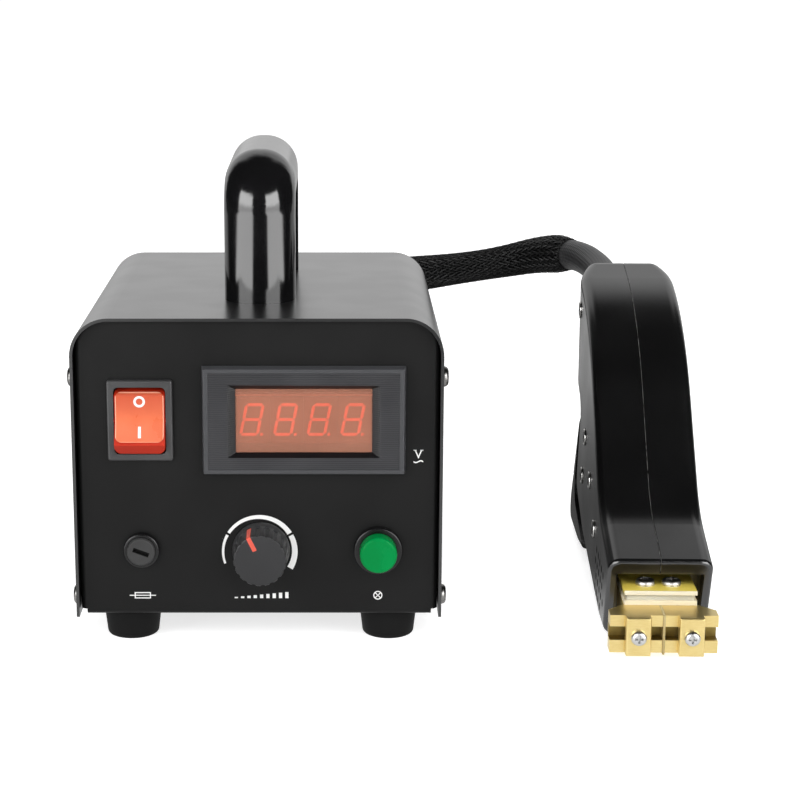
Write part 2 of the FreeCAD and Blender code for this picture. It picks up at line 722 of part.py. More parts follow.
def make_switch_rocker():
    """Rocker with a shallow valley and slanted ends, shown with its top end pressed in."""
    r, face = ROCKER_RADIUS, ROCKER_FACE
    crest = -ROCKER_VALLEY - face * math.tan(math.radians(ROCKER_TILT))
    outline = [(ROCKER_BACK, -r), (ROCKER_LIP, -r), (crest, -face), (-ROCKER_VALLEY, 0), (crest, face),
               (ROCKER_LIP, r), (ROCKER_BACK, r)]
    half = ROCKER_WIDTH / 2
    rocker = side_prism(outline, -half, half)
    rounded = rectangle(0, 0, ROCKER_WIDTH, 2 * r, ROCKER_CORNER)
    rocker = rocker.common(front_prism(rounded, crest - 1, ROCKER_BACK + 1))
    rocker = rocker.common(rod(Vector(-half, 0, 0), ACROSS, 2 * r, 2 * half))
    pin = half + ROCKER_CLEARANCE + TRUNNION_LENGTH - 0.1
    rocker = rocker.fuse(rod(Vector(-pin, 0, 0), ACROSS, TRUNNION_DIA, 2 * pin))
    rocker.rotate(Vector(0, 0, 0), ACROSS, -ROCKER_TILT)
    rocker.translate(rocker_pivot())
    return rocker


def make_switch_terminals():
    """Push-on blades at the back of the switch."""
    back = PANEL_Y + SWITCH_BODY_DEPTH
    blades = []
    for x in (-SWITCH_BODY_WIDTH / 4, SWITCH_BODY_WIDTH / 4):
        for z in (-SWITCH_BODY_HEIGHT / 4, SWITCH_BODY_HEIGHT / 4):
            w = TERMINAL_WIDTH / 2
            t = TERMINAL_THICK / 2
            blades.append(box(SWITCH_X + x - w, SWITCH_X + x + w, back, back + TERMINAL_LENGTH,
                              UPPER_Z + z - t, UPPER_Z + z + t))
    return group(blades)


# Panel voltmeter

def meter_depths():
    """Y of the bezel's front, the window's front and back, and the case's back."""
    front = PANEL_Y - METER_BEZEL_THICK
    window = front + RECESS_DEPTH
    return front, window, window + WINDOW_THICK, PANEL_Y + METER_DEPTH


def make_meter_case():
    """Bezel with a raised rim and a sloping window recess, and the case behind the panel."""
    front, window, display, back = meter_depths()
    slim = 2 * METER_BEVEL
    bezel = frustum(METER_X, UPPER_Z, (METER_WIDTH, METER_HEIGHT), PANEL_Y,
                    (METER_WIDTH - slim, METER_HEIGHT - slim), front)
    body = front_prism(rectangle(METER_X, UPPER_Z, METER_BODY_WIDTH, METER_BODY_HEIGHT), PANEL_Y, back)
    case = joined([bezel, body])
    field = front + METER_RIM_PROUD
    inside_rim = rectangle(METER_X, UPPER_Z, METER_WIDTH - 2 * METER_RIM, METER_HEIGHT - 2 * METER_RIM)
    case = case.cut(front_prism(inside_rim, front - 1, field))
    recess = frustum(METER_X, UPPER_Z, (RECESS_WIDTH, RECESS_HEIGHT), field,
                     (WINDOW_WIDTH, WINDOW_HEIGHT), window)
    seat = front_prism(rectangle(METER_X, UPPER_Z, WINDOW_WIDTH + 2 * WINDOW_LAP,
                                 WINDOW_HEIGHT + 2 * WINDOW_LAP), window, display + 1)
    wall = 2 * METER_WALL
    inside = front_prism(rectangle(METER_X, UPPER_Z, METER_BODY_WIDTH - wall, METER_BODY_HEIGHT - wall),
                         display, back + 1)
    return case.cut(recess).cut(seat).cut(inside)


def make_meter_window():
    """Tinted window seated behind the bezel."""
    window, display = meter_depths()[1:3]
    play = 2 * HOLE_PLAY
    return front_prism(rectangle(METER_X, UPPER_Z, WINDOW_WIDTH + 2 * WINDOW_LAP - play,
                                 WINDOW_HEIGHT + 2 * WINDOW_LAP - play), window, display)


def make_meter_display():
    """Row of seven-segment digit blocks behind the window."""
    display = meter_depths()[2]
    blocks = []
    for i in range(DIGIT_COUNT):
        x = METER_X + (i - (DIGIT_COUNT - 1) / 2) * DIGIT_PITCH
        outline = rectangle(x, UPPER_Z, DIGIT_PITCH - 2 * HOLE_PLAY, DIGIT_BLOCK_HEIGHT)
        blocks.append(front_prism(outline, display, display + DIGIT_DEPTH))
    return group(blocks)


def make_meter_board():
    """Circuit board that carries the digits, held by the case's walls."""
    display = meter_depths()[2] + DIGIT_DEPTH
    play = 2 * (METER_WALL + HOLE_PLAY)
    return front_prism(rectangle(METER_X, UPPER_Z, METER_BODY_WIDTH - play, METER_BODY_HEIGHT - play),
                       display, display + BOARD_THICK)


# Fuse holder, built along +Z and aimed out of the panel

def on_panel(shape, x):
    """Aim a solid made along +Z out of the panel's lower row; z = 0 is the panel's face."""
    return aim(shape, Vector(x, PANEL_Y, LOWER_Z), FRONT)


def fuse_cap_floor():
    """Height of the cap's seat above the panel."""
    return FUSE_FLANGE_THICK - FUSE_CAP_SEAT


def make_fuse_holder():
    """Flanged body with a well for the cap and a bore for the fuse."""
    well = FUSE_CAP_DIA / 2 + FUSE_CAP_PLAY
    stem = FUSE_STEM_DIA / 2 + FUSE_CAP_PLAY
    floor = fuse_cap_floor()
    bottom = floor - FUSE_STEM_LENGTH - FUSE_LENGTH + 2
    outline = [(0, -FUSE_BODY_LENGTH), (FUSE_BODY_DIA / 2, -FUSE_BODY_LENGTH), (FUSE_BODY_DIA / 2, 0),
               (FUSE_FLANGE_DIA / 2, 0), (FUSE_FLANGE_DIA / 2, FUSE_FLANGE_THICK, 0.8),
               (well, FUSE_FLANGE_THICK), (well, floor - FUSE_CAP_PLAY), (stem, floor - FUSE_CAP_PLAY),
               (stem, bottom), (0, bottom)]
    return on_panel(turned(outline), FUSE_X)


def make_fuse_cap():
    """Slotted cap with a stem that grips the fuse."""
    floor = fuse_cap_floor()
    top = FUSE_FLANGE_THICK + FUSE_CAP_PROUD
    grip = floor - FUSE_STEM_LENGTH
    r = FUSE_CAP_DIA / 2
    cap = turned([(0, grip), (FUSE_STEM_DIA / 2, grip), (FUSE_STEM_DIA / 2, floor), (r, floor),
                  (r, top, 0.7), (0, top)])
    cap = cap.cut(rod(Vector(0, 0, grip - 1), UP, FUSE_DIA + 2 * FUSE_CAP_PLAY, 5.0))
    half = FUSE_SLOT_LENGTH / 2
    slot = box(-half, half, -FUSE_SLOT_WIDTH / 2, FUSE_SLOT_WIDTH / 2, top - FUSE_SLOT_DEPTH, top + 1)
    cap = on_panel(cap.cut(slot), FUSE_X)
    cap.rotate(Vector(FUSE_X, PANEL_Y, LOWER_Z), BACK, FUSE_SLOT_TURN)
    return cap


def make_fuse_cartridge():
    """Glass cartridge fuse held by the cap."""
    top = fuse_cap_floor() - FUSE_STEM_LENGTH + 4.0 - HOLE_PLAY
    start = Vector(0, 0, top - FUSE_LENGTH)
    return on_panel(rod(start, UP, FUSE_DIA, FUSE_LENGTH), FUSE_X)


def panel_nut(flats, thick, bore_dia, x):
    """Nut against the back of the front panel."""
    nut = hexagon(flats, thick, bore_dia + 2 * HOLE_PLAY)
    return aim(nut, Vector(x, PANEL_BACK, LOWER_Z), BACK)


# Voltage control

def make_potentiometer():
    """Round body behind the panel with its bushing and solder tags."""
    bore = SHAFT_DIA / 2 + SHAFT_PLAY
    bushing, body = BUSHING_DIA / 2, POT_DIA / 2
    outline = [(bore, BUSHING_PROUD), (bore, -SHEET - POT_DEPTH * 0.5), (0, -SHEET - POT_DEPTH * 0.5),
               (0, -SHEET - POT_DEPTH), (body, -SHEET - POT_DEPTH), (body, -SHEET), (bushing, -SHEET),
               (bushing, BUSHING_PROUD)]
    pot = turned(outline)
    for i in (-1, 0, 1):
        tag = box(5.0 * i - 1.0, 5.0 * i + 1.0, -body - 5.0, -body + 2.0, -SHEET - POT_DEPTH * 0.6,
                  -SHEET - POT_DEPTH * 0.6 + 0.8)
        pot = pot.fuse(tag)
    return on_panel(pot, KNOB_X)


def make_pot_shaft():
    """Spindle that the knob turns."""
    low = -SHEET - POT_DEPTH * 0.5 + HOLE_PLAY
    return on_panel(rod(Vector(0, 0, low), UP, SHAFT_DIA, SHAFT_PROUD - low), KNOB_X)


def make_pot_nut():
    """Nut on the bushing, hidden under the knob."""
    return on_panel(hexagon(POT_NUT_FLATS, POT_NUT_THICK, BUSHING_DIA + 2 * HOLE_PLAY), KNOB_X)


def knob_blank():
    """Knob without flutes, from its skirt to its face."""
    low = KNOB_STANDOFF
    top = low + KNOB_HEIGHT
    step = low + KNOB_SKIRT_THICK
    return turned([(0, low), (KNOB_SKIRT_DIA / 2, low), (KNOB_SKIRT_DIA / 2, low + KNOB_SKIRT_RIM),
                   (KNOB_BASE_DIA / 2, step), (KNOB_FACE_DIA / 2, top, KNOB_EDGE), (0, top)])


def pointer_bar():
    """Bar across the face and down the side, before it is trimmed to the knob."""
    top = KNOB_STANDOFF + KNOB_HEIGHT
    w, r = POINTER_WIDTH / 2, KNOB_SKIRT_DIA / 2 + 1
    face = box(-w, w, POINTER_INNER, r, top - POINTER_DEPTH, top + 1)
    side = box(-w, w, KNOB_FACE_DIA / 2 - KNOB_FLUTE_DIA / 2 - POINTER_DEPTH, r,
               KNOB_STANDOFF + KNOB_SKIRT_THICK, top + 1)
    return face.fuse(side)


def turned_to_pointer(shape):
    """Place a knob solid on the panel with its pointer at its shown angle."""
    placed = on_panel(shape, KNOB_X)
    placed.rotate(Vector(KNOB_X, PANEL_Y, LOWER_Z), FRONT, POINTER_TURN + pointer_base_turn())
    return placed


def pointer_base_turn():
    """Turn that brings a solid's +Y to the panel's +Z after it is aimed out of the panel."""
    probe = aim(Part.Vertex(0, 1, 0), Vector(0, 0, 0), FRONT).Point
    return math.degrees(math.atan2(-probe.x, probe.z)) * -1


def make_control_knob():
    """Fluted knob with a hollow for the nut and a bore for the shaft."""
    knob = knob_blank()
    low, top = KNOB_STANDOFF, KNOB_STANDOFF + KNOB_HEIGHT
    step = low + KNOB_SKIRT_THICK
    reach = KNOB_BASE_DIA / 2 + KNOB_FLUTE_DIA * 0.2
    flutes = []
    for i in range(KNOB_FLUTES):
        angle = 2 * math.pi * (i + 0.5) / KNOB_FLUTES
        start = Vector(reach * math.cos(angle), reach * math.sin(angle), step)
        flutes.append(rod(start, UP, KNOB_FLUTE_DIA, top - step + 1))
    knob = knob.cut(group(flutes))
    nut_room = POT_NUT_FLATS / math.sqrt(3) * 2 + 2 * KNOB_NUT_ROOM
    knob = knob.cut(rod(Vector(0, 0, low - 1), UP, nut_room, POT_NUT_THICK + KNOB_NUT_ROOM - low + 1))
    foot = Vector(0, 0, low)
    knob = knob.cut(rod(foot, UP, BUSHING_DIA + 2 * KNOB_NUT_ROOM, BUSHING_PROUD + KNOB_NUT_ROOM - low))
    knob = knob.cut(rod(foot, UP, SHAFT_DIA + HOLE_PLAY, SHAFT_PROUD + HOLE_PLAY - low))
    return turned_to_pointer(knob.cut(pointer_bar()))


def make_knob_pointer():
    """Coloured pointer set into the knob."""
    return turned_to_pointer(pointer_bar().common(knob_blank()))


# Pilot lamp

def make_lamp_bezel():
    """Flanged barrel of the pilot lamp."""
    flange, barrel = LAMP_BEZEL_DIA / 2, LAMP_BARREL_DIA / 2
    bore = LENS_DIA / 2 + LENS_PLAY
    seat = LAMP_BEZEL_THICK - LENS_STEM_LENGTH
    outline = [(0, -LAMP_LENGTH), (barrel, -LAMP_LENGTH), (barrel, 0), (flange, 0),
               (flange, LAMP_BEZEL_THICK, 0.8), (bore, LAMP_BEZEL_THICK), (bore, seat), (bore - 2.0, seat),
               (bore - 2.0, -LAMP_LENGTH * 0.8), (0, -LAMP_LENGTH * 0.8)]
    return on_panel(turned(outline), LAMP_X)


def make_lamp_lens():
    """Green lens that stands out of the bezel, hollow for the light."""
    low = LAMP_BEZEL_THICK - LENS_STEM_LENGTH
    top = LAMP_BEZEL_THICK + LENS_PROUD
    r, wall = LENS_DIA / 2, 1.6
    outline = [(r - wall, low), (r, low), (r, top, LENS_EDGE), (0, top), (0, top - wall),
               (r - wall, top - wall, 0.5)]
    return on_panel(turned(outline), LAMP_X)


def make_lamp_led():
    """Light source at the bottom of the barrel."""
    low = -LAMP_LENGTH * 0.8
    top = LAMP_BEZEL_THICK - LENS_STEM_LENGTH + 2.0
    outline = [(0, low), (3.0, low), (3.0, low + 2.0), (2.5, low + 2.0), (2.5, top, 2.2), (0, top)]
    return on_panel(turned(outline), LAMP_X)


# Transformer and control board

def strap_screw_places():
    """Screw seats on the transformer strap's feet."""
    x = CORE_WIDTH / 2 + STRAP_THICK + STRAP_FOOT / 2
    z = FLOOR_TOP + STRAP_THICK
    return [Vector(side * x, CORE_FROM_FRONT, z) for side in (-1, 1)]


def make_transformer_core():
    """Laminated core with two windows."""
    half, depth = CORE_WIDTH / 2, CORE_STACK / 2
    y0, y1 = CORE_FROM_FRONT - depth, CORE_FROM_FRONT + depth
    core = box(-half, half, y0, y1, FLOOR_TOP, FLOOR_TOP + CORE_HEIGHT)
    for side in (-1, 1):
        x0, x1 = sorted((side * CORE_LIMB, side * (half - CORE_LIMB)))
        low, high = FLOOR_TOP + CORE_LIMB, FLOOR_TOP + CORE_HEIGHT - CORE_LIMB
        core = core.cut(box(x0, x1, y0 - 1, y1 + 1, low, high))
    return core


def make_transformer_coil():
    """Winding round the middle limb."""
    play = COIL_PLAY
    low, high = FLOOR_TOP + CORE_LIMB + play, FLOOR_TOP + CORE_HEIGHT - CORE_LIMB - play
    width = CORE_WIDTH - 2 * CORE_LIMB - 2 * play
    depth = CORE_STACK + 2 * COIL_OVERHANG
    coil = plan_prism(rectangle(0, CORE_FROM_FRONT, width, depth, COIL_ROUND), low, high)
    limb = rectangle(0, CORE_FROM_FRONT, 2 * CORE_LIMB + 2 * play, CORE_STACK + 2 * play)
    return coil.cut(plan_prism(limb, low - 1, high + 1))


def make_transformer_strap():
    """Bent strap over the core with a screwed foot each side."""
    half, t = CORE_WIDTH / 2, STRAP_THICK
    top = FLOOR_TOP + CORE_HEIGHT
    out = half + t + STRAP_FOOT
    outline = [(-out, FLOOR_TOP), (-half, FLOOR_TOP), (-half, top), (half, top), (half, FLOOR_TOP),
               (out, FLOOR_TOP), (out, FLOOR_TOP + t), (half + t, FLOOR_TOP + t), (half + t, top + t, t),
               (-half - t, top + t, t), (-half - t, FLOOR_TOP + t), (-out, FLOOR_TOP + t)]
    y0 = CORE_FROM_FRONT - STRAP_WIDTH / 2
    strap = front_prism(outline, y0, y0 + STRAP_WIDTH)
    for place in strap_screw_places():
        strap = strap.cut(rod(place - UP * (t + 1), UP, STRAP_SCREW_DIA + 2 * HOLE_PLAY, t + 2))
    return strap


def make_strap_screws():
    """Screws through the strap's feet into the floor."""
    screw = pan_screw(STRAP_SCREW_DIA, STRAP_SCREW_LENGTH, STRAP_SCREW_DIA * 1.8, STRAP_SCREW_DIA * 0.6)
    return group([aim(screw, place, UP) for place in strap_screw_places()])


def board_corner():
    """Lowest X and Y of the control board, and its underside."""
    return -HALF_WIDTH + BOARD_FROM_SIDE, BOARD_FROM_FRONT, FLOOR_TOP + STANDOFF_HEIGHT


def make_control_board():
    """Circuit board of the voltage control."""
    x, y, z = board_corner()
    return box(x, x + BOARD_WIDTH, y, y + BOARD_DEPTH, z, z + BOARD_THICK)


def make_board_standoffs():
    """Pillars between the chassis floor and the board."""
    x, y, z = board_corner()
    inset = STANDOFF_INSET
    pillars = []
    for px in (x + inset, x + BOARD_WIDTH - inset):
        for py in (y + inset, y + BOARD_DEPTH - inset):
            pillars.append(rod(Vector(px, py, FLOOR_TOP), UP, STANDOFF_DIA, STANDOFF_HEIGHT))
    return group(pillars)


def make_heat_sink():
    """Finned sink of the power switch, standing on the board."""
    x, y, z = board_corner()
    x0 = x + BOARD_WIDTH / 2 - SINK_WIDTH / 2
    y0 = y + BOARD_DEPTH / 2 - SINK_DEPTH / 2
    z0 = z + BOARD_THICK
    parts = [box(x0, x0 + SINK_WIDTH, y0, y0 + SINK_BASE, z0, z0 + SINK_HEIGHT)]
    pitch = (SINK_WIDTH - SINK_FIN_THICK) / (SINK_FINS - 1)
    for i in range(SINK_FINS):
        fin = x0 + i * pitch
        parts.append(box(fin, fin + SINK_FIN_THICK, y0, y0 + SINK_DEPTH, z0, z0 + SINK_HEIGHT))
    return joined(parts)


# Rear glands

def make_gland(x, z, thread_dia, flats, dome, bore_dia):
    """Cable gland: thread through the rear panel, hexagonal collar and domed nut."""
    inside = -SHEET - GLAND_THREAD_INSIDE
    neck = GLAND_COLLAR + dome
    r = thread_dia / 2
    bore = bore_dia / 2
    rim = bore + (flats / 2 - bore) * 0.35
    cap = flats * 0.52
    body = turned([(bore, inside), (r, inside), (r, 0), (cap, 0), (cap, GLAND_COLLAR + dome * 0.5, 1.0),
                   (rim, neck, 1.0), (bore, neck)])
    collar = hexagon(flats, GLAND_COLLAR, bore_dia)
    return aim(joined([body, collar]), Vector(x, REAR_Y, z), BACK)


def make_gland_nut(x, z, thread_dia, flats):
    """Lock nut inside the rear panel."""
    nut = hexagon(flats, GLAND_NUT_THICK, thread_dia + 2 * HOLE_PLAY)
    return aim(nut, Vector(x, REAR_Y - SHEET, z), FRONT)


# Handset, built in its own frame

def place_handset(shape):
    """Set a handset solid on the floor beside the box, turned a little."""
    moved = shape.copy()
    moved.rotate(Vector(0, 0, 0), UP, -HANDSET_YAW)
    moved.translate(Vector(HANDSET_X, HANDSET_Y, 0))
    return moved


def shell_outline():
    """Side outline of the housing, from the rim's top round the back to the rim's foot."""
    return [RIM_TOP, NECK_BEND, BACK_BEND, TAIL_TOP, TAIL_FOOT, WAIST, HEEL, BELLY, CHIN, RIM_FOOT]


def inset_outline(corners, depths):
    """Outline moved inwards; depths gives each side's own distance, and the corners run clockwise."""
    count = len(corners)
    sides = []
    for i in range(count):
        a, b = corners[i], corners[(i + 1) % count]
        length = math.hypot(b[0] - a[0], b[1] - a[1])
        d = ((b[0] - a[0]) / length, (b[1] - a[1]) / length)
        sides.append(((a[0] + d[1] * depths[i], a[1] - d[0] * depths[i]), d))
    result = []
    for i in range(count):
        (p, d), (q, e) = sides[i - 1], sides[i]
        u, v = line_cross(p, d, q, e)
        radius = corners[i][2] if len(corners[i]) > 2 else 0.0
        hollow = d[0] * e[1] - d[1] * e[0] > 0
        change = max(depths[i - 1], depths[i])
        radius = radius + change if hollow else max(radius - change, 0.0)
        result.append((u, v, radius))
    return result


def shell_plan():
    """Plan outline of the housing: straight sides that draw in towards the tail."""
    w = SHELL_HALF
    (y, radius), (end, narrow) = TAIL_TAPER, TAIL_END
    front = RIM_TOP[0] - 3 * SHELL_WIDTH
    return [(-w, front), (-w, y, radius), (-narrow, end), (narrow, end), (w, y, radius), (w, front)]


def tail_half(y):
    """Half width of the plan outline at a distance from the front."""
    (corner, radius), (end, narrow) = TAIL_TAPER, TAIL_END
    turn = math.atan2(SHELL_HALF - narrow, end - corner)
    reach = radius * math.tan(turn / 2)
    first, last = corner - reach, corner + reach * math.cos(turn)
    if y <= first:
        return SHELL_HALF
    if y >= last:
        return SHELL_HALF - (y - corner) * math.tan(turn)
    return SHELL_HALF - radius + math.sqrt(radius ** 2 - (y - first) ** 2)


def shell_solid():
    """Outside of the housing with rounded edges."""
    solid = side_prism(shell_outline(), -SHELL_HALF, SHELL_HALF)
    solid = solid.common(plan_prism(shell_plan(), -SHELL_WIDTH, TAIL_TOP[1] + SHELL_WIDTH))
    rim_mid_y = (RIM_TOP[0] + RIM_FOOT[0]) / 2

    def on_side(edge):
        span = edge.LastParameter - edge.FirstParameter
        points = [edge.valueAt(edge.FirstParameter + part * span) for part in (0.0, 0.3, 0.5, 0.7, 1.0)]
        for point in points:
            if abs(abs(point.x) - tail_half(point.y)) > 2e-3 or point.x * points[0].x < 0:
                return False
        upright = math.hypot(points[0].x - points[-1].x, points[0].y - points[-1].y) < 1e-6
        front = abs(edge.CenterOfMass.y - rim_mid_y) < 1e-3 and edge.Curve.TypeId == "Part::GeomLine"
        return not upright and not front

    solid = solid.makeFillet(SHELL_EDGE, edges_where(solid, on_side))
    tilt = Vector(0, RIM_FOOT[0] - RIM_TOP[0], RIM_FOOT[1] - RIM_TOP[1])
    tilt.normalize()

    def on_rim(edge):
        for vertex in edge.Vertexes:
            offset = vertex.Point - Vector(0, RIM_TOP[0], RIM_TOP[1])
            if abs(offset.y * tilt.z - offset.z * tilt.y) > 1e-3:
                return False
        return True

    return solid.makeFillet(RIM_EDGE, edges_where(solid, on_rim))


def shell_outside(side):
    """Outside of one half, with the parting edge broken."""
    x0, x1 = sorted((0, side * (SHELL_HALF + 1)))
    half = shell_solid().common(box(x0, x1, -50, 300, -50, 200))
    parting = edges_where(half, lambda e: all(abs(v.Point.x) < 1e-4 for v in e.Vertexes)
                          and abs(e.CenterOfMass.x) < 1e-4)
    return half.makeChamfer(PARTING_EDGE, parting)


def shell_cavity():
    """Inside of the housing, open at the nose."""
    corners = shell_outline()
    depths = [SHELL_WALL] * len(corners)
    depths[0] = NOSE_TOP_WALL
    depths[-1] = -4 * SHELL_WALL
    half = SHELL_HALF - NOSE_SIDE_WALL
    cavity = side_prism(inset_outline(corners, depths), -half, half)
    plan = []
    for corner in shell_plan():
        inside = math.copysign(abs(corner[0]) - NOSE_SIDE_WALL, corner[0])
        plan.append((inside,) + corner[1:])
    return cavity.common(plan_prism(plan, -SHELL_WIDTH, TAIL_TOP[1] + SHELL_WIDTH))


def rear_wall():
    """Start, direction and outward normal of the wall behind the trigger, in Y and Z."""
    length = math.hypot(HEEL[0] - WAIST[0], HEEL[1] - WAIST[1])
    along = ((HEEL[0] - WAIST[0]) / length, (HEEL[1] - WAIST[1]) / length)
    return (WAIST[0], WAIST[1]), along, (-along[1], along[0])


def wall_y(z):
    """Y of the housing's rear wall at a height."""
    start, along = rear_wall()[:2]
    return start[0] + along[0] * (z - start[1]) / along[1]


def shell_cuts():
    """Sleeve mouth, trigger slots and pin hole, shared by both halves."""
    sleeve = rod(Vector(0, TAIL_FOOT[0] - SLEEVE_INSIDE, SLEEVE_HEIGHT), BACK, SLEEVE_DIA + 2 * HOLE_PLAY,
                 SLEEVE_INSIDE + 10)
    half = TONGUE_WIDTH / 2 + TONGUE_SLOT_PLAY
    top_z = TRIGGER_PIVOT[1] + TRIGGER_EYE_DIA / 2 + TONGUE_SLOT_PLAY
    low_z = TRIGGER_PIVOT[1] - 2 * TRIGGER_EYE_DIA
    tongue = box(-half, half, wall_y(top_z) - 3 * SHELL_WALL, wall_y(low_z) + 2 * SHELL_WALL, low_z, top_z)
    nib_half = NIB_SIZE / 2 + TONGUE_SLOT_PLAY
    reach = 2 * NIB_SIZE
    nib = box(-nib_half, nib_half, wall_y(NIB_HEIGHT) - 3 * SHELL_WALL, wall_y(NIB_HEIGHT) + 3 * SHELL_WALL,
              NIB_HEIGHT - reach / 2, NIB_HEIGHT + reach / 2)
    pin = rod(Vector(-SHELL_HALF + SHELL_WALL, TRIGGER_PIVOT[0], TRIGGER_PIVOT[1]), ACROSS,
              TRIGGER_PIN_DIA + 2 * SHAFT_PLAY, SHELL_WIDTH - 2 * SHELL_WALL)
    return [sleeve, tongue, nib, pin]


def shell_ribs():
    """Bosses, sleeve grip and saddles inside the housing, spanning both halves."""
    half = SHELL_HALF - SHELL_WALL
    ribs = []
    for y, z in SHELL_SCREWS:
        ribs.append(rod(Vector(-half, y, z), ACROSS, BOSS_DIA, 2 * half))
    grip = TRIGGER_PIN_DIA + 2 * SHELL_WALL
    y, z = TRIGGER_PIVOT
    inner = TONGUE_WIDTH / 2 + SPRING_TURNS * SPRING_PITCH + SPRING_WIRE + 2 * BOSS_CLEARANCE
    for side in (-1, 1):
        start = Vector(side * half, y, z)
        ribs.append(rod(start, ACROSS * -side, grip, half - inner))
    mouth = TAIL_FOOT[0] - SLEEVE_INSIDE
    collar = rod(Vector(0, mouth, SLEEVE_HEIGHT), BACK, SLEEVE_DIA + 2 * SHELL_WALL, SLEEVE_INSIDE)
    web = box(-half, half, mouth, mouth + SHELL_WALL, SLEEVE_HEIGHT - SLEEVE_DIA / 2 - SHELL_WALL,
              SLEEVE_HEIGHT + SLEEVE_DIA / 2 + SHELL_WALL)
    ribs += [collar, web]
    neck = NECK_WIDTH / 2 + SADDLE_PLAY
    for side in (-1, 1):
        x0, x1 = sorted((side * neck, side * half))
        ribs.append(box(x0, x1, SADDLE_FRONT, SADDLE_FRONT + SADDLE_LENGTH, SHELL_WALL, stack_levels()[3]))
    ribs.append(box(-half, half, SADDLE_FRONT, SADDLE_FRONT + SADDLE_LENGTH, 0, NECK_BASE - SADDLE_PLAY))
    return ribs


def nose_pits(side):
    """Staggered round pits in the wall beside the hot nose."""
    pits = []
    for row in range(PIT_ROWS):
        for column in range(PIT_COLUMNS):
            y = PIT_FIRST[0] + (column + 0.5 * (row % 2)) * PIT_PITCH
            z = PIT_FIRST[1] - row * PIT_ROW + PIT_LEAN * (y - PIT_FIRST[0])
            if z >= PIT_LOWEST:
                start = Vector(side * (SHELL_HALF - PIT_DEPTH), y, z)
                pits.append(rod(start, ACROSS * side, PIT_DIA, PIT_DEPTH + 1))
    return group(pits)


def make_shell(side):
    """One half of the housing: side -1 is the left half, which takes the screw heads."""
    outside = shell_outside(side)
    shell = outside.cut(shell_cavity())
    ribs = joined(shell_ribs()).common(outside)
    ribs = ribs.cut(switch_room())
    shell = shell.fuse(ribs)
    for cut in shell_cuts():
        shell = shell.cut(cut)
    for y, z in SHELL_SCREWS:
        start = Vector(-SHELL_HALF - 1, y, z)
        shell = shell.cut(rod(start, ACROSS, SHELL_SCREW_DIA + 2 * HOLE_PLAY, SHELL_WIDTH - SHELL_WALL))
        seat_dia = SHELL_SCREW_HEAD_DIA + 2 * SHELL_SCREW_ROOM
        shell = shell.cut(rod(start, ACROSS, seat_dia, SHELL_SCREW_SINK + 1))
    return shell.cut(nose_pits(side)).removeSplitter()


def make_shell_screws():
    """Screws that hold the two halves together, heads on the left side."""
    length = SHELL_WIDTH - SHELL_WALL - SHELL_SCREW_SINK - 1.2
    screw = pan_screw(SHELL_SCREW_DIA, length, SHELL_SCREW_HEAD_DIA, SHELL_SCREW_HEAD)
    seat = -SHELL_HALF + SHELL_SCREW_SINK
    return group([aim(screw, Vector(seat, y, z), ACROSS * -1) for y, z in SHELL_SCREWS])


# Trigger and its switch

def trigger_outline():
    """Side outline of the paddle that wraps the housing's heel."""
    return [TRIGGER_TIP, TRIGGER_BACK, TRIGGER_HEEL, TRIGGER_SOLE, TRIGGER_TOE, TRIGGER_TOE_TOP,
            TRIGGER_CRADLE_LOW, TRIGGER_CRADLE, TRIGGER_CRADLE_TOP]


def switch_frame():
    """Screw hole, direction along the switch and outward normal, in Y and Z."""
    along, outward = rear_wall()[1:]
    return SHELL_SCREWS[2], along, outward


def switch_corners(extra):
    """Corners of the switch body seen from the side, grown by a margin."""
    (y, z), along, outward = switch_frame()
    back = -SWITCH_HOLE_INSET - extra
    front = SWITCH_BOX_DEPTH - SWITCH_HOLE_INSET + extra
    high = SWITCH_HOLE_ALONG - SWITCH_BOX_LENGTH / 2 - extra
    low = SWITCH_HOLE_ALONG + SWITCH_BOX_LENGTH / 2 + extra
    points = []
    for a, n in ((high, back), (low, back), (low, front), (high, front)):
        points.append((y + along[0] * a + outward[0] * n, z + along[1] * a + outward[1] * n))
    return points


def switch_room():
    """Space cleared from the bosses for the switch."""
    half = SWITCH_BOX_WIDTH / 2
    return side_prism(switch_corners(BOSS_CLEARANCE), -half, half)


def plunger_axis():
    """Point on the switch's face where the plunger stands, and its outward direction."""
    (y, z), along, outward = switch_frame()
    nib_y, nib_z = wall_y(NIB_HEIGHT), NIB_HEIGHT
    a = (nib_y - y) * along[0] + (nib_z - z) * along[1]
    n = SWITCH_BOX_DEPTH - SWITCH_HOLE_INSET
    foot = Vector(0, y + along[0] * a + outward[0] * n, z + along[1] * a + outward[1] * n)
    return foot, Vector(0, outward[0], outward[1])


def make_microswitch():
    """Snap-action switch held by one of the housing's screws."""
    half = SWITCH_BOX_WIDTH / 2
    body = side_prism(switch_corners(0), -half + HOLE_PLAY, half - HOLE_PLAY)
    foot, outward = plunger_axis()
    depth = PLUNGER_INSIDE + PLUNGER_PROUD
    body = body.cut(rod(foot - outward * depth, outward, PLUNGER_DIA + 2 * SHAFT_PLAY, depth + 1))
    y, z = SHELL_SCREWS[2]
    return body.cut(rod(Vector(-half, y, z), ACROSS, SHELL_SCREW_DIA + 2 * HOLE_PLAY, 2 * half))


def make_switch_plunger():
    """Plunger that the trigger's nib pushes into the switch."""
    foot, outward = plunger_axis()
    return rod(foot - outward * PLUNGER_INSIDE, outward, PLUNGER_DIA, PLUNGER_INSIDE + PLUNGER_PROUD)


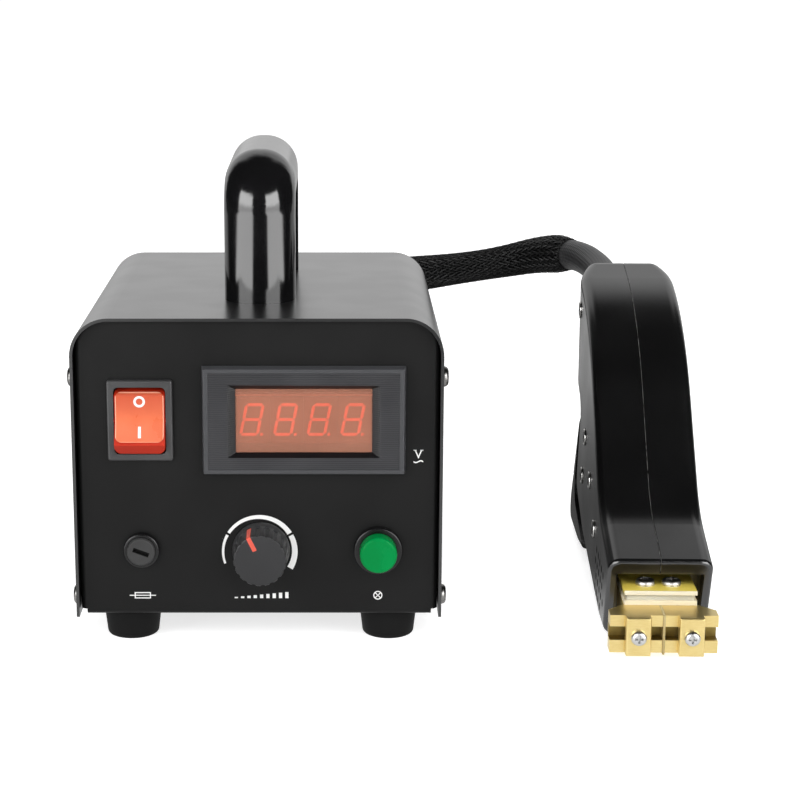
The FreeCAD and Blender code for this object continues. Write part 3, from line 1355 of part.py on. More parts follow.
def make_trigger():
    """Hollow paddle with an eye on the pin and a nib that presses the switch."""
    half = SHELL_HALF - TRIGGER_SIDE_GAP
    paddle = side_prism(trigger_outline(), -half, half)
    wire = corner_wire(trigger_outline(), lambda y, z: Vector(half, y, z))
    outer = [edge.CenterOfMass for edge in wire.Edges[:7]]

    def on_finger_side(edge):
        place = edge.CenterOfMass
        if abs(abs(place.x) - half) > 1e-3:
            return False
        return any(math.hypot(place.y - c.y, place.z - c.z) < 1e-3 for c in outer)

    paddle = paddle.makeFillet(TRIGGER_EDGE, edges_where(paddle, on_finger_side))
    depths = [TRIGGER_WALL] * 5 + [-2 * TRIGGER_WALL] * 3
    hollow_half = half - TRIGGER_WALL
    hollow = side_prism(inset_outline(trigger_outline()[:-1], depths), -hollow_half, hollow_half)
    paddle = paddle.cut(hollow)
    for side in (-1, 1):
        start = Vector(side * (half - TRIGGER_DIMPLE_DEPTH), TRIGGER_DIMPLE[0], TRIGGER_DIMPLE[1])
        paddle = paddle.cut(rod(start, ACROSS * side, TRIGGER_DIMPLE_DIA, TRIGGER_DIMPLE_DEPTH + 1))
    y, z = TRIGGER_PIVOT
    eye, w = TRIGGER_EYE_DIA / 2, TONGUE_WIDTH / 2
    wall = TRIGGER_CRADLE_TOP[0]
    arm = [(y, z + eye), (wall - 3.0, z + eye - 1.2), (wall + 5.5, z - 1.5 * eye), (y, z - eye)]
    tongue = side_prism(arm, -w, w).fuse(rod(Vector(-w, y, z), ACROSS, TRIGGER_EYE_DIA, 2 * w))
    tongue = tongue.cut(rod(Vector(-w - 1, y, z), ACROSS, TRIGGER_PIN_DIA + 2 * TRIGGER_PIN_PLAY, 2 * w + 2))
    return joined([paddle, tongue, trigger_nib()])


def trigger_nib():
    """Square nib from the paddle's inside to the plunger."""
    foot, outward = plunger_axis()
    start = foot + outward * (PLUNGER_PROUD + NIB_GAP)
    face = (TRIGGER_BACK[0] - TRIGGER_TIP[0], TRIGGER_BACK[1] - TRIGGER_TIP[1])
    end = line_cross((start.y, start.z), (outward.y, outward.z), TRIGGER_TIP, face)
    length = math.hypot(end[0] - start.y, end[1] - start.z) - TRIGGER_WALL
    h = NIB_SIZE / 2
    return aim(box(-h, h, -h, h, 0, length), start, outward)


def make_trigger_pin():
    """Pin across the housing that the trigger turns on."""
    half = SHELL_HALF - SHELL_WALL - HOLE_PLAY
    return rod(Vector(-half, TRIGGER_PIVOT[0], TRIGGER_PIVOT[1]), ACROSS, TRIGGER_PIN_DIA, 2 * half)


def make_trigger_spring():
    """Torsion spring round the pin, beside the trigger's eye."""
    radius = TRIGGER_PIN_DIA / 2 + SPRING_PLAY + SPRING_WIRE / 2
    helix = Part.makeHelix(SPRING_PITCH, SPRING_PITCH * SPRING_TURNS, radius)
    section = Part.Wire([Part.makeCircle(SPRING_WIRE / 2, Vector(radius, 0, 0), BACK)])
    coil = Part.Wire(helix).makePipeShell([section], True, True)
    start = Vector(TONGUE_WIDTH / 2 + BOSS_CLEARANCE + SPRING_WIRE / 2, TRIGGER_PIVOT[0], TRIGGER_PIVOT[1])
    return aim(coil, start, ACROSS)


# Brass head

def stack_levels():
    """Heights of the insulating layers from the electrodes' top upwards."""
    base = HEAD_TOP
    middle = base + BASE_LAYER
    top = middle + MIDDLE_LAYER
    return base, middle, top, top + TOP_LAYER


def stack_screw_places():
    """Seats of the two screws on the top layer."""
    y = STACK_FRONT + STACK_SCREW_FROM_FRONT
    half = STACK_SCREW_SPACING / 2
    return [Vector(x, y, stack_levels()[3]) for x in (-half, half)]


def make_electrode(side):
    """Brass electrode: grooved head, flare and a neck that runs into the housing."""
    inner = INSULATOR_THICK / 2
    head, neck = HEAD_WIDTH / 2, NECK_WIDTH / 2
    outline = [(side * inner, 0), (side * head, 0), (side * head, HEAD_DEPTH), (side * neck, FLARE_END),
               (side * neck, NECK_LENGTH), (side * inner, NECK_LENGTH)]
    body = plan_prism(outline, HEAD_BASE, HEAD_TOP)
    body = body.cut(box(-HEAD_WIDTH, HEAD_WIDTH, FLARE_END, NECK_LENGTH + 1, HEAD_BASE - 1, NECK_BASE))
    body = body.cut(box(-HEAD_WIDTH, HEAD_WIDTH, -1, GROOVE_DEPTH, GROOVE_Z, GROOVE_Z + GROOVE_HEIGHT))
    screw = rod(Vector(side * CLAMP_OFFSET, -1, CLAMP_Z), BACK, CLAMP_SCREW_DIA + 2 * CLAMP_SCREW_PLAY,
                CLAMP_SCREW_LENGTH + 2)
    body = body.cut(screw)
    for place in stack_screw_places():
        body = body.cut(rod(place - UP * (STACK_SCREW_LENGTH + 1), UP, STACK_SCREW_DIA + 2 * HOLE_PLAY,
                            STACK_SCREW_LENGTH + 2))
    return body


def make_insulator_sheet():
    """Thin sheet that parts the electrodes and stands a little proud of them."""
    half = INSULATOR_THICK / 2 - SHAFT_PLAY
    proud = INSULATOR_PROUD
    outline = [(-proud, HEAD_BASE - proud), (-proud, HEAD_TOP), (NECK_LENGTH, HEAD_TOP),
               (NECK_LENGTH, NECK_BASE), (FLARE_END, NECK_BASE), (FLARE_END, HEAD_BASE - proud)]
    return side_prism(outline, -half, half)


def make_clamp_plate(side):
    """Brass plate that presses one leg of the blade into its groove."""
    x, w = side * CLAMP_OFFSET, CLAMP_WIDTH / 2
    low = CLAMP_Z - CLAMP_HEIGHT / 2
    plate = box(x - w, x + w, -CLAMP_THICK, 0, low, low + CLAMP_HEIGHT)
    rim = edges_where(plate, lambda e: abs(e.CenterOfMass.y + CLAMP_THICK) < 1e-3)
    plate = plate.makeChamfer(CLAMP_EDGE, rim)
    start = Vector(x, -CLAMP_THICK - 1, CLAMP_Z)
    return plate.cut(rod(start, BACK, CLAMP_SCREW_DIA + 2 * HOLE_PLAY, CLAMP_THICK + 2))


def make_clamp_screw(side):
    """Screw that draws the clamp plate in."""
    length = CLAMP_SCREW_LENGTH + CLAMP_THICK
    screw = pan_screw(CLAMP_SCREW_DIA, length, CLAMP_SCREW_HEAD_DIA, CLAMP_SCREW_HEAD)
    return aim(screw, Vector(side * CLAMP_OFFSET, -CLAMP_THICK, CLAMP_Z), FRONT)


def make_layer(low, high, inset):
    """One insulating layer of the stack on the electrodes."""
    half = STACK_WIDTH / 2 - inset
    layer = box(-half, half, STACK_FRONT + inset, STACK_FRONT + STACK_LENGTH, low, high)
    for place in stack_screw_places():
        layer = layer.cut(rod(place - UP * 20, UP, STACK_SCREW_DIA + 2 * HOLE_PLAY, 30))
    return layer


def make_stack_screws():
    """Dark screws that hold the layers on the electrodes."""
    screw = pan_screw(STACK_SCREW_DIA, STACK_SCREW_LENGTH, STACK_SCREW_HEAD_DIA, STACK_SCREW_HEAD)
    return group([aim(screw, place, UP) for place in stack_screw_places()])


def make_cable_lugs():
    """Lugs on the electrodes' tails that take the lead's two cores."""
    lugs = []
    x = (NECK_WIDTH / 2 + INSULATOR_THICK / 2) / 2
    for side in (-1, 1):
        cx = side * x
        palm = box(cx - LUG_WIDTH / 2, cx + LUG_WIDTH / 2, NECK_LENGTH - LUG_LENGTH / 2,
                   NECK_LENGTH + LUG_LENGTH / 2, HEAD_TOP, HEAD_TOP + LUG_THICK)
        start = Vector(cx, NECK_LENGTH + LUG_LENGTH / 2 - 2.0, HEAD_TOP + LUG_BARREL_DIA / 2)
        lugs.append(joined([palm, rod(start, BACK, LUG_BARREL_DIA, LUG_BARREL_LENGTH)]))
    return group(lugs)


# Lead

def lead_route():
    """Centre line of the lead: out of the gland, one loop on the floor, up and over to the handset."""
    floor = LEAD_DIA / 2 + LEAD_REST
    start = REAR_Y + GLAND_COLLAR + LEAD_GLAND_DOME - LEAD_IN_GLAND
    straight = REAR_Y + GLAND_COLLAR + LEAD_GLAND_DOME + LEAD_IN_GLAND - LEAD_REST
    points = [Vector(LEAD_GLAND_X, start, LEAD_GLAND_Z), Vector(LEAD_GLAND_X, straight, LEAD_GLAND_Z)]
    for x, behind, height in LEAD_LOOP:
        points.append(Vector(x, COVER_DEPTH + behind, max(height, floor)))
    for behind, rise in reversed(SLEEVE_RISE):
        points.append(place_handset(Part.Vertex(0, TAIL_FOOT[0] + behind, SLEEVE_HEIGHT + rise)).Point)
    points.append(place_handset(Part.Vertex(0, TAIL_FOOT[0] - SLEEVE_INSIDE, SLEEVE_HEIGHT)).Point)
    return points


def lead_radii(points):
    """Bend radius at each inner point: as large as its two runs allow."""
    radii = []
    for i in range(1, len(points) - 1):
        a, b = points[i] - points[i - 1], points[i + 1] - points[i]
        turn = a.getAngle(b)
        radii.append(0.45 * min(a.Length, b.Length) / math.tan(turn / 2))
    return radii


def lead_path(points):
    """Straight runs and tangent arcs through the route, in order, and the bend radii."""
    radii = lead_radii(points)
    edges = []
    last = points[0]
    for i, radius in enumerate(radii, start=1):
        here = points[i]
        before = points[i - 1] - here
        after = points[i + 1] - here
        before.normalize()
        after.normalize()
        half = before.getAngle(after) / 2
        reach = radius / math.tan(half)
        middle = before + after
        middle.normalize()
        a, b = here + before * reach, here + after * reach
        edges.append(Part.LineSegment(last, a).toShape())
        edges.append(Part.Arc(a, here + middle * (radius / math.sin(half) - radius), b).toShape())
        last = b
    edges.append(Part.LineSegment(last, points[-1]).toShape())
    return edges, radii


def self_gap(wire):
    """Least gap between parts of the lead that are far apart along it."""
    points = wire.discretize(Distance=6.0)
    apart = int(8 * LEAD_DIA / 6.0)
    least = 1e9
    for i, p in enumerate(points):
        for q in points[i + apart:]:
            least = min(least, p.distanceToPoint(q))
    return least - LEAD_DIA


def tube(edges, dia):
    """Round tube along a run of edges that follow each other."""
    path = Part.Wire(edges)
    first = edges[0]
    section = Part.Wire([Part.makeCircle(dia / 2, first.valueAt(first.FirstParameter),
                                         first.tangentAt(first.FirstParameter))])
    solid = path.makePipeShell([section], True, False)
    area = math.pi * (dia / 2) ** 2
    print("tube length %.1f, volume ratio %.4f" % (path.Length, solid.Volume / (area * path.Length)))
    return solid


def make_lead():
    """Braided lead and the smooth sleeve over its handset end, as two unbroken tubes."""
    edges, radii = lead_path(lead_route())
    print("lead radii", [round(r) for r in radii], "least gap %.1f" % self_gap(Part.Wire(edges)))
    split = len(edges) - 2 * SLEEVE_BENDS
    return tube(edges[:split], LEAD_DIA), tube(edges[split:], SLEEVE_DIA)


def build_nodes():
    """Every piece by name: X from the box's middle, Y from its front edge, Z from the floor."""
    levels = stack_levels()
    lead, sleeve = make_lead()
    nodes = {
        "top_cover": make_top_cover(),
        "chassis": make_chassis(),
        "cover_screws": make_cover_screws(),
        "carry_handle": make_carry_handle(),
        "handle_screws": make_handle_screws(),
        "rubber_feet": make_rubber_feet(),
        "foot_screws": make_foot_screws(),
        "switch_body": make_switch_body(),
        "switch_rocker": make_switch_rocker(),
        "switch_terminals": make_switch_terminals(),
        "meter_case": make_meter_case(),
        "meter_window": make_meter_window(),
        "meter_display": make_meter_display(),
        "meter_board": make_meter_board(),
        "fuse_holder": make_fuse_holder(),
        "fuse_cap": make_fuse_cap(),
        "fuse_cartridge": make_fuse_cartridge(),
        "fuse_nut": panel_nut(FUSE_NUT_FLATS, FUSE_NUT_THICK, FUSE_BODY_DIA, FUSE_X),
        "potentiometer": make_potentiometer(),
        "pot_shaft": make_pot_shaft(),
        "pot_nut": make_pot_nut(),
        "control_knob": make_control_knob(),
        "knob_pointer": make_knob_pointer(),
        "lamp_bezel": make_lamp_bezel(),
        "lamp_lens": make_lamp_lens(),
        "lamp_led": make_lamp_led(),
        "lamp_nut": panel_nut(LAMP_NUT_FLATS, LAMP_NUT_THICK, LAMP_BARREL_DIA, LAMP_X),
        "transformer_core": make_transformer_core(),
        "transformer_coil": make_transformer_coil(),
        "transformer_strap": make_transformer_strap(),
        "strap_screws": make_strap_screws(),
        "control_board": make_control_board(),
        "board_standoffs": make_board_standoffs(),
        "heat_sink": make_heat_sink(),
        "lead_gland": make_gland(LEAD_GLAND_X, LEAD_GLAND_Z, LEAD_GLAND_THREAD_DIA, LEAD_GLAND_FLATS,
                                 LEAD_GLAND_DOME, LEAD_DIA + 2 * LEAD_PLAY),
        "lead_gland_nut": make_gland_nut(LEAD_GLAND_X, LEAD_GLAND_Z, LEAD_GLAND_THREAD_DIA,
                                         LEAD_GLAND_FLATS),
        "mains_gland": make_gland(MAINS_GLAND_X, MAINS_GLAND_Z, MAINS_GLAND_THREAD_DIA, MAINS_GLAND_FLATS,
                                  MAINS_GLAND_DOME, MAINS_BORE_DIA),
        "mains_gland_nut": make_gland_nut(MAINS_GLAND_X, MAINS_GLAND_Z, MAINS_GLAND_THREAD_DIA,
                                          MAINS_GLAND_FLATS),
        "handset_lead": lead,
        "lead_sleeve": sleeve,
    }
    handset = {
        "shell_left": make_shell(-1),
        "shell_right": make_shell(1),
        "shell_screws": make_shell_screws(),
        "trigger": make_trigger(),
        "trigger_pin": make_trigger_pin(),
        "trigger_spring": make_trigger_spring(),
        "microswitch": make_microswitch(),
        "switch_plunger": make_switch_plunger(),
        "electrode_left": make_electrode(-1),
        "electrode_right": make_electrode(1),
        "insulator_sheet": make_insulator_sheet(),
        "clamp_plate_left": make_clamp_plate(-1),
        "clamp_plate_right": make_clamp_plate(1),
        "clamp_screw_left": make_clamp_screw(-1),
        "clamp_screw_right": make_clamp_screw(1),
        "base_layer": make_layer(levels[0], levels[1], 0.0),
        "middle_layer": make_layer(levels[1], levels[2], MIDDLE_INSET),
        "top_layer": make_layer(levels[2], levels[3], 0.0),
        "stack_screws": make_stack_screws(),
        "cable_lugs": make_cable_lugs(),
    }
    for name, shape in handset.items():
        nodes[name] = place_handset(shape)
    return nodes


LEAD_NODES = ("handset_lead", "lead_sleeve")


def origin_of(nodes):
    """Middle of the object's footprint on the floor, without the lead."""
    solids = [shape for name, shape in nodes.items() if name not in LEAD_NODES]
    boxes = [shape.optimalBoundingBox(False, False) for shape in solids]
    x = (min(b.XMin for b in boxes) + max(b.XMax for b in boxes)) / 2
    y = (min(b.YMin for b in boxes) + max(b.YMax for b in boxes)) / 2
    z = min(b.ZMin for b in boxes)
    return Vector(x, y, z)


NODES = build_nodes()
ORIGIN = origin_of(NODES)
print("origin in the bench frame", ORIGIN)
os.makedirs("parts", exist_ok=True)
for node, solid in NODES.items():
    solid.translate(ORIGIN * -1)
    solid.exportStep("parts/%s.step" % node)
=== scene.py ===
"""Looks of the hot-blade groover: studio, lead, printed panel, display and the finish of every node."""
import json
import logging
import math
from abc import ABC, abstractmethod
from dataclasses import dataclass
from enum import Enum
from typing import Callable, Sequence

import bpy
from mathutils import Matrix, Vector


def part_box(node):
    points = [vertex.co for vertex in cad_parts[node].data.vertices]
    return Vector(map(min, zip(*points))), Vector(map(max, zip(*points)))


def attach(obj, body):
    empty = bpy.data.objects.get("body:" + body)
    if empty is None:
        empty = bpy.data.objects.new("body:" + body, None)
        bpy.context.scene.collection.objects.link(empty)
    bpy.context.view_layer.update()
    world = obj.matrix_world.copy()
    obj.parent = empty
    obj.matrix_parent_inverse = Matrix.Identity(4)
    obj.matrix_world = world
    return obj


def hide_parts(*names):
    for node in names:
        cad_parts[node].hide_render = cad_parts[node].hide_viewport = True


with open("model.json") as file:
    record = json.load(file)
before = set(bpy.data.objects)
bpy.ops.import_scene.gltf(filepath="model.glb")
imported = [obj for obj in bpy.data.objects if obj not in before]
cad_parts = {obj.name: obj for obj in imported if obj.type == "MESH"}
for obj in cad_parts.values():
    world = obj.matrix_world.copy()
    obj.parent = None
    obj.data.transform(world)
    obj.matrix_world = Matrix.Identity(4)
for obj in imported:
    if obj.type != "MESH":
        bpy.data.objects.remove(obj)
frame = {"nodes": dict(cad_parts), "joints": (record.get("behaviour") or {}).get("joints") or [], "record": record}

LOG = logging.getLogger("groover")
MM = 0.001
DOUBLE = 1e-7
SMOOTH_ANGLE = 35.0
Colour = tuple[float, float, float]
Point = tuple[float, float, float]
Span = tuple[float, float]
Piece = bpy.types.Object
Socket = bpy.types.NodeSocket
LineFrame = tuple[float, Vector, Vector, Vector]


# Places

@dataclass(frozen=True)
class Bench:
    """Millimetres on the bench: X from the cover's middle, Y from its front rim, Z from the floor."""

    middle: float
    front: float

    @classmethod
    def from_frame(cls) -> "Bench":
        """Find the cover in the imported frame.

        Returns:
            The bench that every other class measures from.
        """
        low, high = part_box("top_cover")
        return cls((low.x + high.x) / 2, low.y)

    def at(self, x: float, y: float, z: float) -> Vector:
        """Turn bench millimetres into the frame's metres.

        Args:
            x: Distance to the right of the cover's middle.
            y: Distance behind the cover's front rim.
            z: Height above the floor.

        Returns:
            The point in the frame.
        """
        return Vector((self.middle + x * MM, self.front + y * MM, z * MM))


BENCH = Bench.from_frame()


@dataclass(frozen=True)
class HandsetPlace:
    """Where the handset lies: the middle of its brass head's front face, and its small turn."""

    x: float = 157.9
    y: float = -14.0
    yaw: float = 1.5

    def at(self, x: float, y: float, z: float) -> Vector:
        """Turn the handset's own millimetres into the frame's metres.

        Args:
            x: Distance to the right of the handset's middle plane.
            y: Distance behind the head's front face.
            z: Height above the floor.

        Returns:
            The point in the frame.
        """
        a = math.radians(self.yaw)
        along = x * math.cos(a) + y * math.sin(a)
        back = y * math.cos(a) - x * math.sin(a)
        return BENCH.at(self.x + along, self.y + back, z)


HANDSET = HandsetPlace()
UPRIGHT = Matrix.Rotation(math.pi / 2, 4, "X")


# Modelling helpers

def deselect() -> None:
    """Leave edit mode and clear the selection."""
    if bpy.context.object and bpy.context.object.mode != "OBJECT":
        bpy.ops.object.mode_set(mode="OBJECT")
    bpy.ops.object.select_all(action="DESELECT")


def named(name: str) -> Piece:
    """Name the primitive that was just added.

    Args:
        name: The piece's name.

    Returns:
        The new object.
    """
    piece = bpy.context.object
    piece.name = name
    piece.data.name = name
    return piece


def activate(piece: Piece) -> None:
    """Make a piece the active one, and the only one selected.

    Args:
        piece: The piece to work on.
    """
    deselect()
    bpy.context.view_layer.objects.active = piece
    piece.select_set(True)


def open_mesh() -> None:
    """Go into edit mode on the active piece, with all of it selected."""
    bpy.ops.object.mode_set(mode="EDIT")
    bpy.ops.mesh.select_all(action="SELECT")


def place(piece: Piece, matrix: Matrix) -> Piece:
    """Move a piece by a matrix and apply it, so that the object sits at the origin.

    Args:
        piece: The piece to move.
        matrix: The move, in the frame.

    Returns:
        The same piece.
    """
    activate(piece)
    piece.matrix_world = matrix @ piece.matrix_world
    bpy.ops.object.transform_apply(location=True, rotation=True, scale=True)
    piece.select_set(False)
    return piece


def copies(piece: Piece, count: int) -> list[Piece]:
    """Copy a piece, each copy with a mesh of its own.

    Args:
        piece: The piece, which comes first in the result.
        count: How many are wanted in all.

    Returns:
        The piece and its copies.
    """
    pieces = [piece]
    for _ in range(count - 1):
        copy = piece.copy()
        copy.data = piece.data.copy()
        bpy.context.scene.collection.objects.link(copy)
        pieces.append(copy)
    return pieces


def joined(pieces: Sequence[Piece], name: str) -> Piece:
    """Join several pieces into one.

    Args:
        pieces: The pieces, which are used up.
        name: The name of the result.

    Returns:
        The joined piece.
    """
    deselect()
    for piece in pieces:
        piece.select_set(True)
    bpy.context.view_layer.objects.active = pieces[0]
    if len(pieces) > 1:
        bpy.ops.object.join()
    return named(name)


def tidy_mesh(piece: Piece, angle: float = SMOOTH_ANGLE) -> None:
    """Merge doubles, turn the faces outwards and smooth by angle.

    Args:
        piece: The piece to finish.
        angle: Edges sharper than this stay sharp, in degrees.
    """
    activate(piece)
    open_mesh()
    bpy.ops.mesh.remove_doubles(threshold=DOUBLE)
    bpy.ops.mesh.normals_make_consistent(inside=False)
    bpy.ops.object.mode_set(mode="OBJECT")
    bpy.ops.object.shade_smooth_by_angle(angle=math.radians(angle))
    piece.select_set(False)


def thickened(piece: Piece, depth: float) -> None:
    """Give a flat piece in X and Y its thickness along +Z.

    Args:
        piece: The flat piece.
        depth: The thickness in metres.
    """
    activate(piece)
    open_mesh()
    bpy.ops.mesh.extrude_region_move(TRANSFORM_OT_translate={"value": (0, 0, depth)})
    bpy.ops.object.mode_set(mode="OBJECT")


def mesh_piece(name: str, points: Sequence[Vector], faces: Sequence[Sequence[int]]) -> Piece:
    """Make an object from points and faces, for pieces that follow a cord.

    Args:
        name: The piece's name.
        points: The vertices, in the frame.
        faces: The faces, by vertex number.

    Returns:
        The new object.
    """
    mesh = bpy.data.meshes.new(name)
    mesh.from_pydata(points, [], faces)
    mesh.update()
    piece = bpy.data.objects.new(name, mesh)
    bpy.context.scene.collection.objects.link(piece)
    return piece


def dressed(piece: Piece, body: str, material: bpy.types.Material) -> Piece:
    """Let a piece ride on a body with its finish on.

    Args:
        piece: The finished piece.
        body: The body that it moves with.
        material: The finish.

    Returns:
        The same piece.
    """
    piece.data.materials.clear()
    piece.data.materials.append(material)
    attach(piece, body)
    LOG.info("piece %s rides on %s, %d faces", piece.name, body, len(piece.data.polygons))
    return piece


# Finishes

class Graph:
    """Short ways to add and join shader nodes."""

    def __init__(self, tree: bpy.types.NodeTree) -> None:
        """Start on an empty tree."""
        self.tree = tree
        tree.nodes.clear()

    def add(self, kind: str, **settings: object) -> bpy.types.Node:
        """Add a node.

        Args:
            kind: Blender's name for the node.
            settings: Its properties.

        Returns:
            The new node.
        """
        node = self.tree.nodes.new(kind)
        for key, value in settings.items():
            setattr(node, key, value)
        return node

    def feed(self, value: object, socket: Socket) -> None:
        """Join a socket to an input, or set the input's own value.

        Args:
            value: A socket, or a plain value.
            socket: The input.
        """
        if isinstance(value, Socket):
            self.tree.links.new(value, socket)
        else:
            socket.default_value = value

    def math(self, operation: str, *values: object, clamp: bool = False) -> Socket:
        """Work out a number.

        Args:
            operation: A Math node's operation.
            values: Sockets or numbers.
            clamp: Keep the result between 0 and 1.

        Returns:
            The result's socket.
        """
        node = self.add("ShaderNodeMath", operation=operation, use_clamp=clamp)
        for value, socket in zip(values, node.inputs):
            self.feed(value, socket)
        return node.outputs[0]

    def vector(self, operation: str, *values: object) -> Socket:
        """Work out a vector, or a number for a dot product or a length.

        Args:
            operation: A Vector Math node's operation.
            values: Sockets or vectors.

        Returns:
            The result's socket.
        """
        node = self.add("ShaderNodeVectorMath", operation=operation)
        for value, socket in zip(values, node.inputs):
            self.feed(value, socket)
        number = operation in ("DOT_PRODUCT", "LENGTH", "DISTANCE")
        return node.outputs["Value" if number else "Vector"]

    def span(self, value: object, low: float, high: float, start: float = 0.0, end: float = 1.0,
             smooth: bool = False) -> Socket:
        """Map a number from one range to another.

        Args:
            value: The number's socket.
            low: Where the result is start.
            high: Where the result is end.
            start: First result.
            end: Last result.
            smooth: Ease in and out.

        Returns:
            The result's socket.
        """
        node = self.add("ShaderNodeMapRange", interpolation_type="SMOOTHSTEP" if smooth else "LINEAR")
        for name, item in (("Value", value), ("From Min", low), ("From Max", high), ("To Min", start),
                           ("To Max", end)):
            self.feed(item, node.inputs[name])
        return node.outputs["Result"]

    def split(self, vector: Socket) -> Sequence[Socket]:
        """Take a vector apart.

        Args:
            vector: The vector's socket.

        Returns:
            The sockets of its three numbers.
        """
        node = self.add("ShaderNodeSeparateXYZ")
        self.feed(vector, node.inputs[0])
        return node.outputs

    def noise(self, vector: object, scale: object, detail: float, rough: float = 0.5) -> Socket:
        """Noise between 0 and 1.

        Args:
            vector: Where it is read.
            scale: Cycles per metre.
            detail: Octaves.
            rough: Weight of the finer octaves.

        Returns:
            The noise's socket.
        """
        node = self.add("ShaderNodeTexNoise")
        self.feed(vector, node.inputs["Vector"])
        self.feed(scale, node.inputs["Scale"])
        node.inputs["Detail"].default_value = detail
        node.inputs["Roughness"].default_value = rough
        return node.outputs["Fac"]

    def blend(self, factor: object, first: object, second: object) -> Socket:
        """Mix two colours.

        Args:
            factor: The mask's socket.
            first: Colour where the mask is 0.
            second: Colour where the mask is 1.

        Returns:
            The colour's socket.
        """
        node = self.add("ShaderNodeMix", data_type="RGBA")
        self.feed(factor, node.inputs["Factor"])
        colours = [socket for socket in node.inputs if socket.type == "RGBA"]
        for value, socket in zip((first, second), colours):
            self.feed((*value, 1.0) if isinstance(value, tuple) else value, socket)
        return next(socket for socket in node.outputs if socket.type == "RGBA")

    def relief(self, shader: bpy.types.Node, height: Socket, bump: float, depth: float) -> None:
        """Let a height tilt the shader's normal.

        Args:
            shader: The material's shader.
            height: The height's socket.
            bump: Share of the tilt that shows.
            depth: Depth of the relief in metres.
        """
        node = self.add("ShaderNodeBump")
        node.inputs["Strength"].default_value = bump
        node.inputs["Distance"].default_value = depth
        self.feed(height, node.inputs["Height"])
        self.feed(node.outputs["Normal"], shader.inputs["Normal"])


def new_material(name: str) -> tuple[bpy.types.Material, Graph, bpy.types.Node]:
    """Start a material.

    Args:
        name: The material's name.

    Returns:
        The material, its nodes and the shader on its surface.
    """
    material = bpy.data.materials.new(name)
    material.use_nodes = True
    graph = Graph(material.node_tree)
    shader = graph.add("ShaderNodeBsdfPrincipled")
    graph.feed(shader.outputs["BSDF"], graph.add("ShaderNodeOutputMaterial").inputs["Surface"])
    return material, graph, shader


class Pattern(Enum):
    """Surface patterns that several finishes share, each a node group."""

    SPECKLE = "fine speckle"
    STREAK = "streaks"
    RIPPLE = "parallel lines"
    WEAVE = "crossed lines"


PATTERN_SHARES = {Pattern.SPECKLE: 0.35, Pattern.STREAK: 0.6, Pattern.RIPPLE: 0.7, Pattern.WEAVE: 0.7}
PATCH_EDGES = (0.30, 0.70)
STREAK_EDGES = (0.35, 0.65)


def pattern_group(pattern: Pattern) -> bpy.types.NodeTree:
    """Build a pattern's node group once.

    Args:
        pattern: The pattern wanted.

    Returns:
        A group with a height and a mask that change over the surface.
    """
    found = bpy.data.node_groups.get(pattern.value)
    if found:
        return found
    tree = bpy.data.node_groups.new(pattern.value, "ShaderNodeTree")
    graph = Graph(tree)
    sockets = (("Vector", "NodeSocketVector"), ("Fine", "NodeSocketFloat"), ("Patch", "NodeSocketFloat"),
               ("Direction", "NodeSocketVector"))
    for name, kind in sockets:
        tree.interface.new_socket(name=name, in_out="INPUT", socket_type=kind)
    for name in ("Height", "Mask"):
        tree.interface.new_socket(name=name, in_out="OUTPUT", socket_type="NodeSocketFloat")
    source = graph.add("NodeGroupInput").outputs
    result = graph.add("NodeGroupOutput").inputs
    spot = source["Vector"]
    fine = source["Fine"]
    direction = source["Direction"]
    patches = graph.span(graph.noise(spot, source["Patch"], 1.5, 0.45), *PATCH_EDGES, smooth=True)
    if pattern is Pattern.SPECKLE:
        height = marks = graph.noise(spot, fine, 2.0)
    elif pattern is Pattern.STREAK:
        height = graph.noise(graph.vector("MULTIPLY", spot, direction), fine, 3.0, 0.65)
        marks = graph.span(height, *STREAK_EDGES)
    else:
        along = graph.vector("DOT_PRODUCT", spot, direction)
        wave = graph.math("SINE", graph.math("MULTIPLY", along, fine))
        if pattern is Pattern.WEAVE:
            back = graph.vector("DOT_PRODUCT", spot, graph.vector("MULTIPLY", direction, (1.0, -1.0, 1.0)))
            crossed = graph.math("SINE", graph.math("MULTIPLY", back, fine))
            wave = graph.math("MULTIPLY", wave, crossed)
        height = marks = graph.math("MULTIPLY_ADD", wave, 0.5, 0.5)
    share = PATTERN_SHARES[pattern]
    patchy = graph.math("MULTIPLY", patches, 1.0 - share)
    mask = graph.math("MULTIPLY_ADD", marks, share, patchy, clamp=True)
    graph.feed(height, result["Height"])
    graph.feed(mask, result["Mask"])
    return tree


def patterned(graph: Graph, pattern: Pattern, spot: Socket, fine: float, patch: float) -> bpy.types.Node:
    """Add a pattern to a material.

    Args:
        graph: The material's nodes.
        pattern: The pattern wanted.
        spot: The surface point's socket.
        fine: Cycles of the pattern per metre, or the phase per metre for lines.
        patch: Cycles of its slow changes per metre.

    Returns:
        The pattern's group node.
    """
    group = graph.add("ShaderNodeGroup", node_tree=pattern_group(pattern))
    graph.feed(spot, group.inputs["Vector"])
    group.inputs["Fine"].default_value = fine
    group.inputs["Patch"].default_value = patch
    return group


class Zone(ABC):
    """Part of a finish that has its own colour and roughness."""

    colour: Colour
    rough: float

    @abstractmethod
    def mask(self, graph: Graph, spot: Socket) -> Socket:
        """Tell where the zone is.

        Args:
            graph: The material's nodes.
            spot: The surface point's socket.

        Returns:
            A mask, 1 inside the zone.
        """


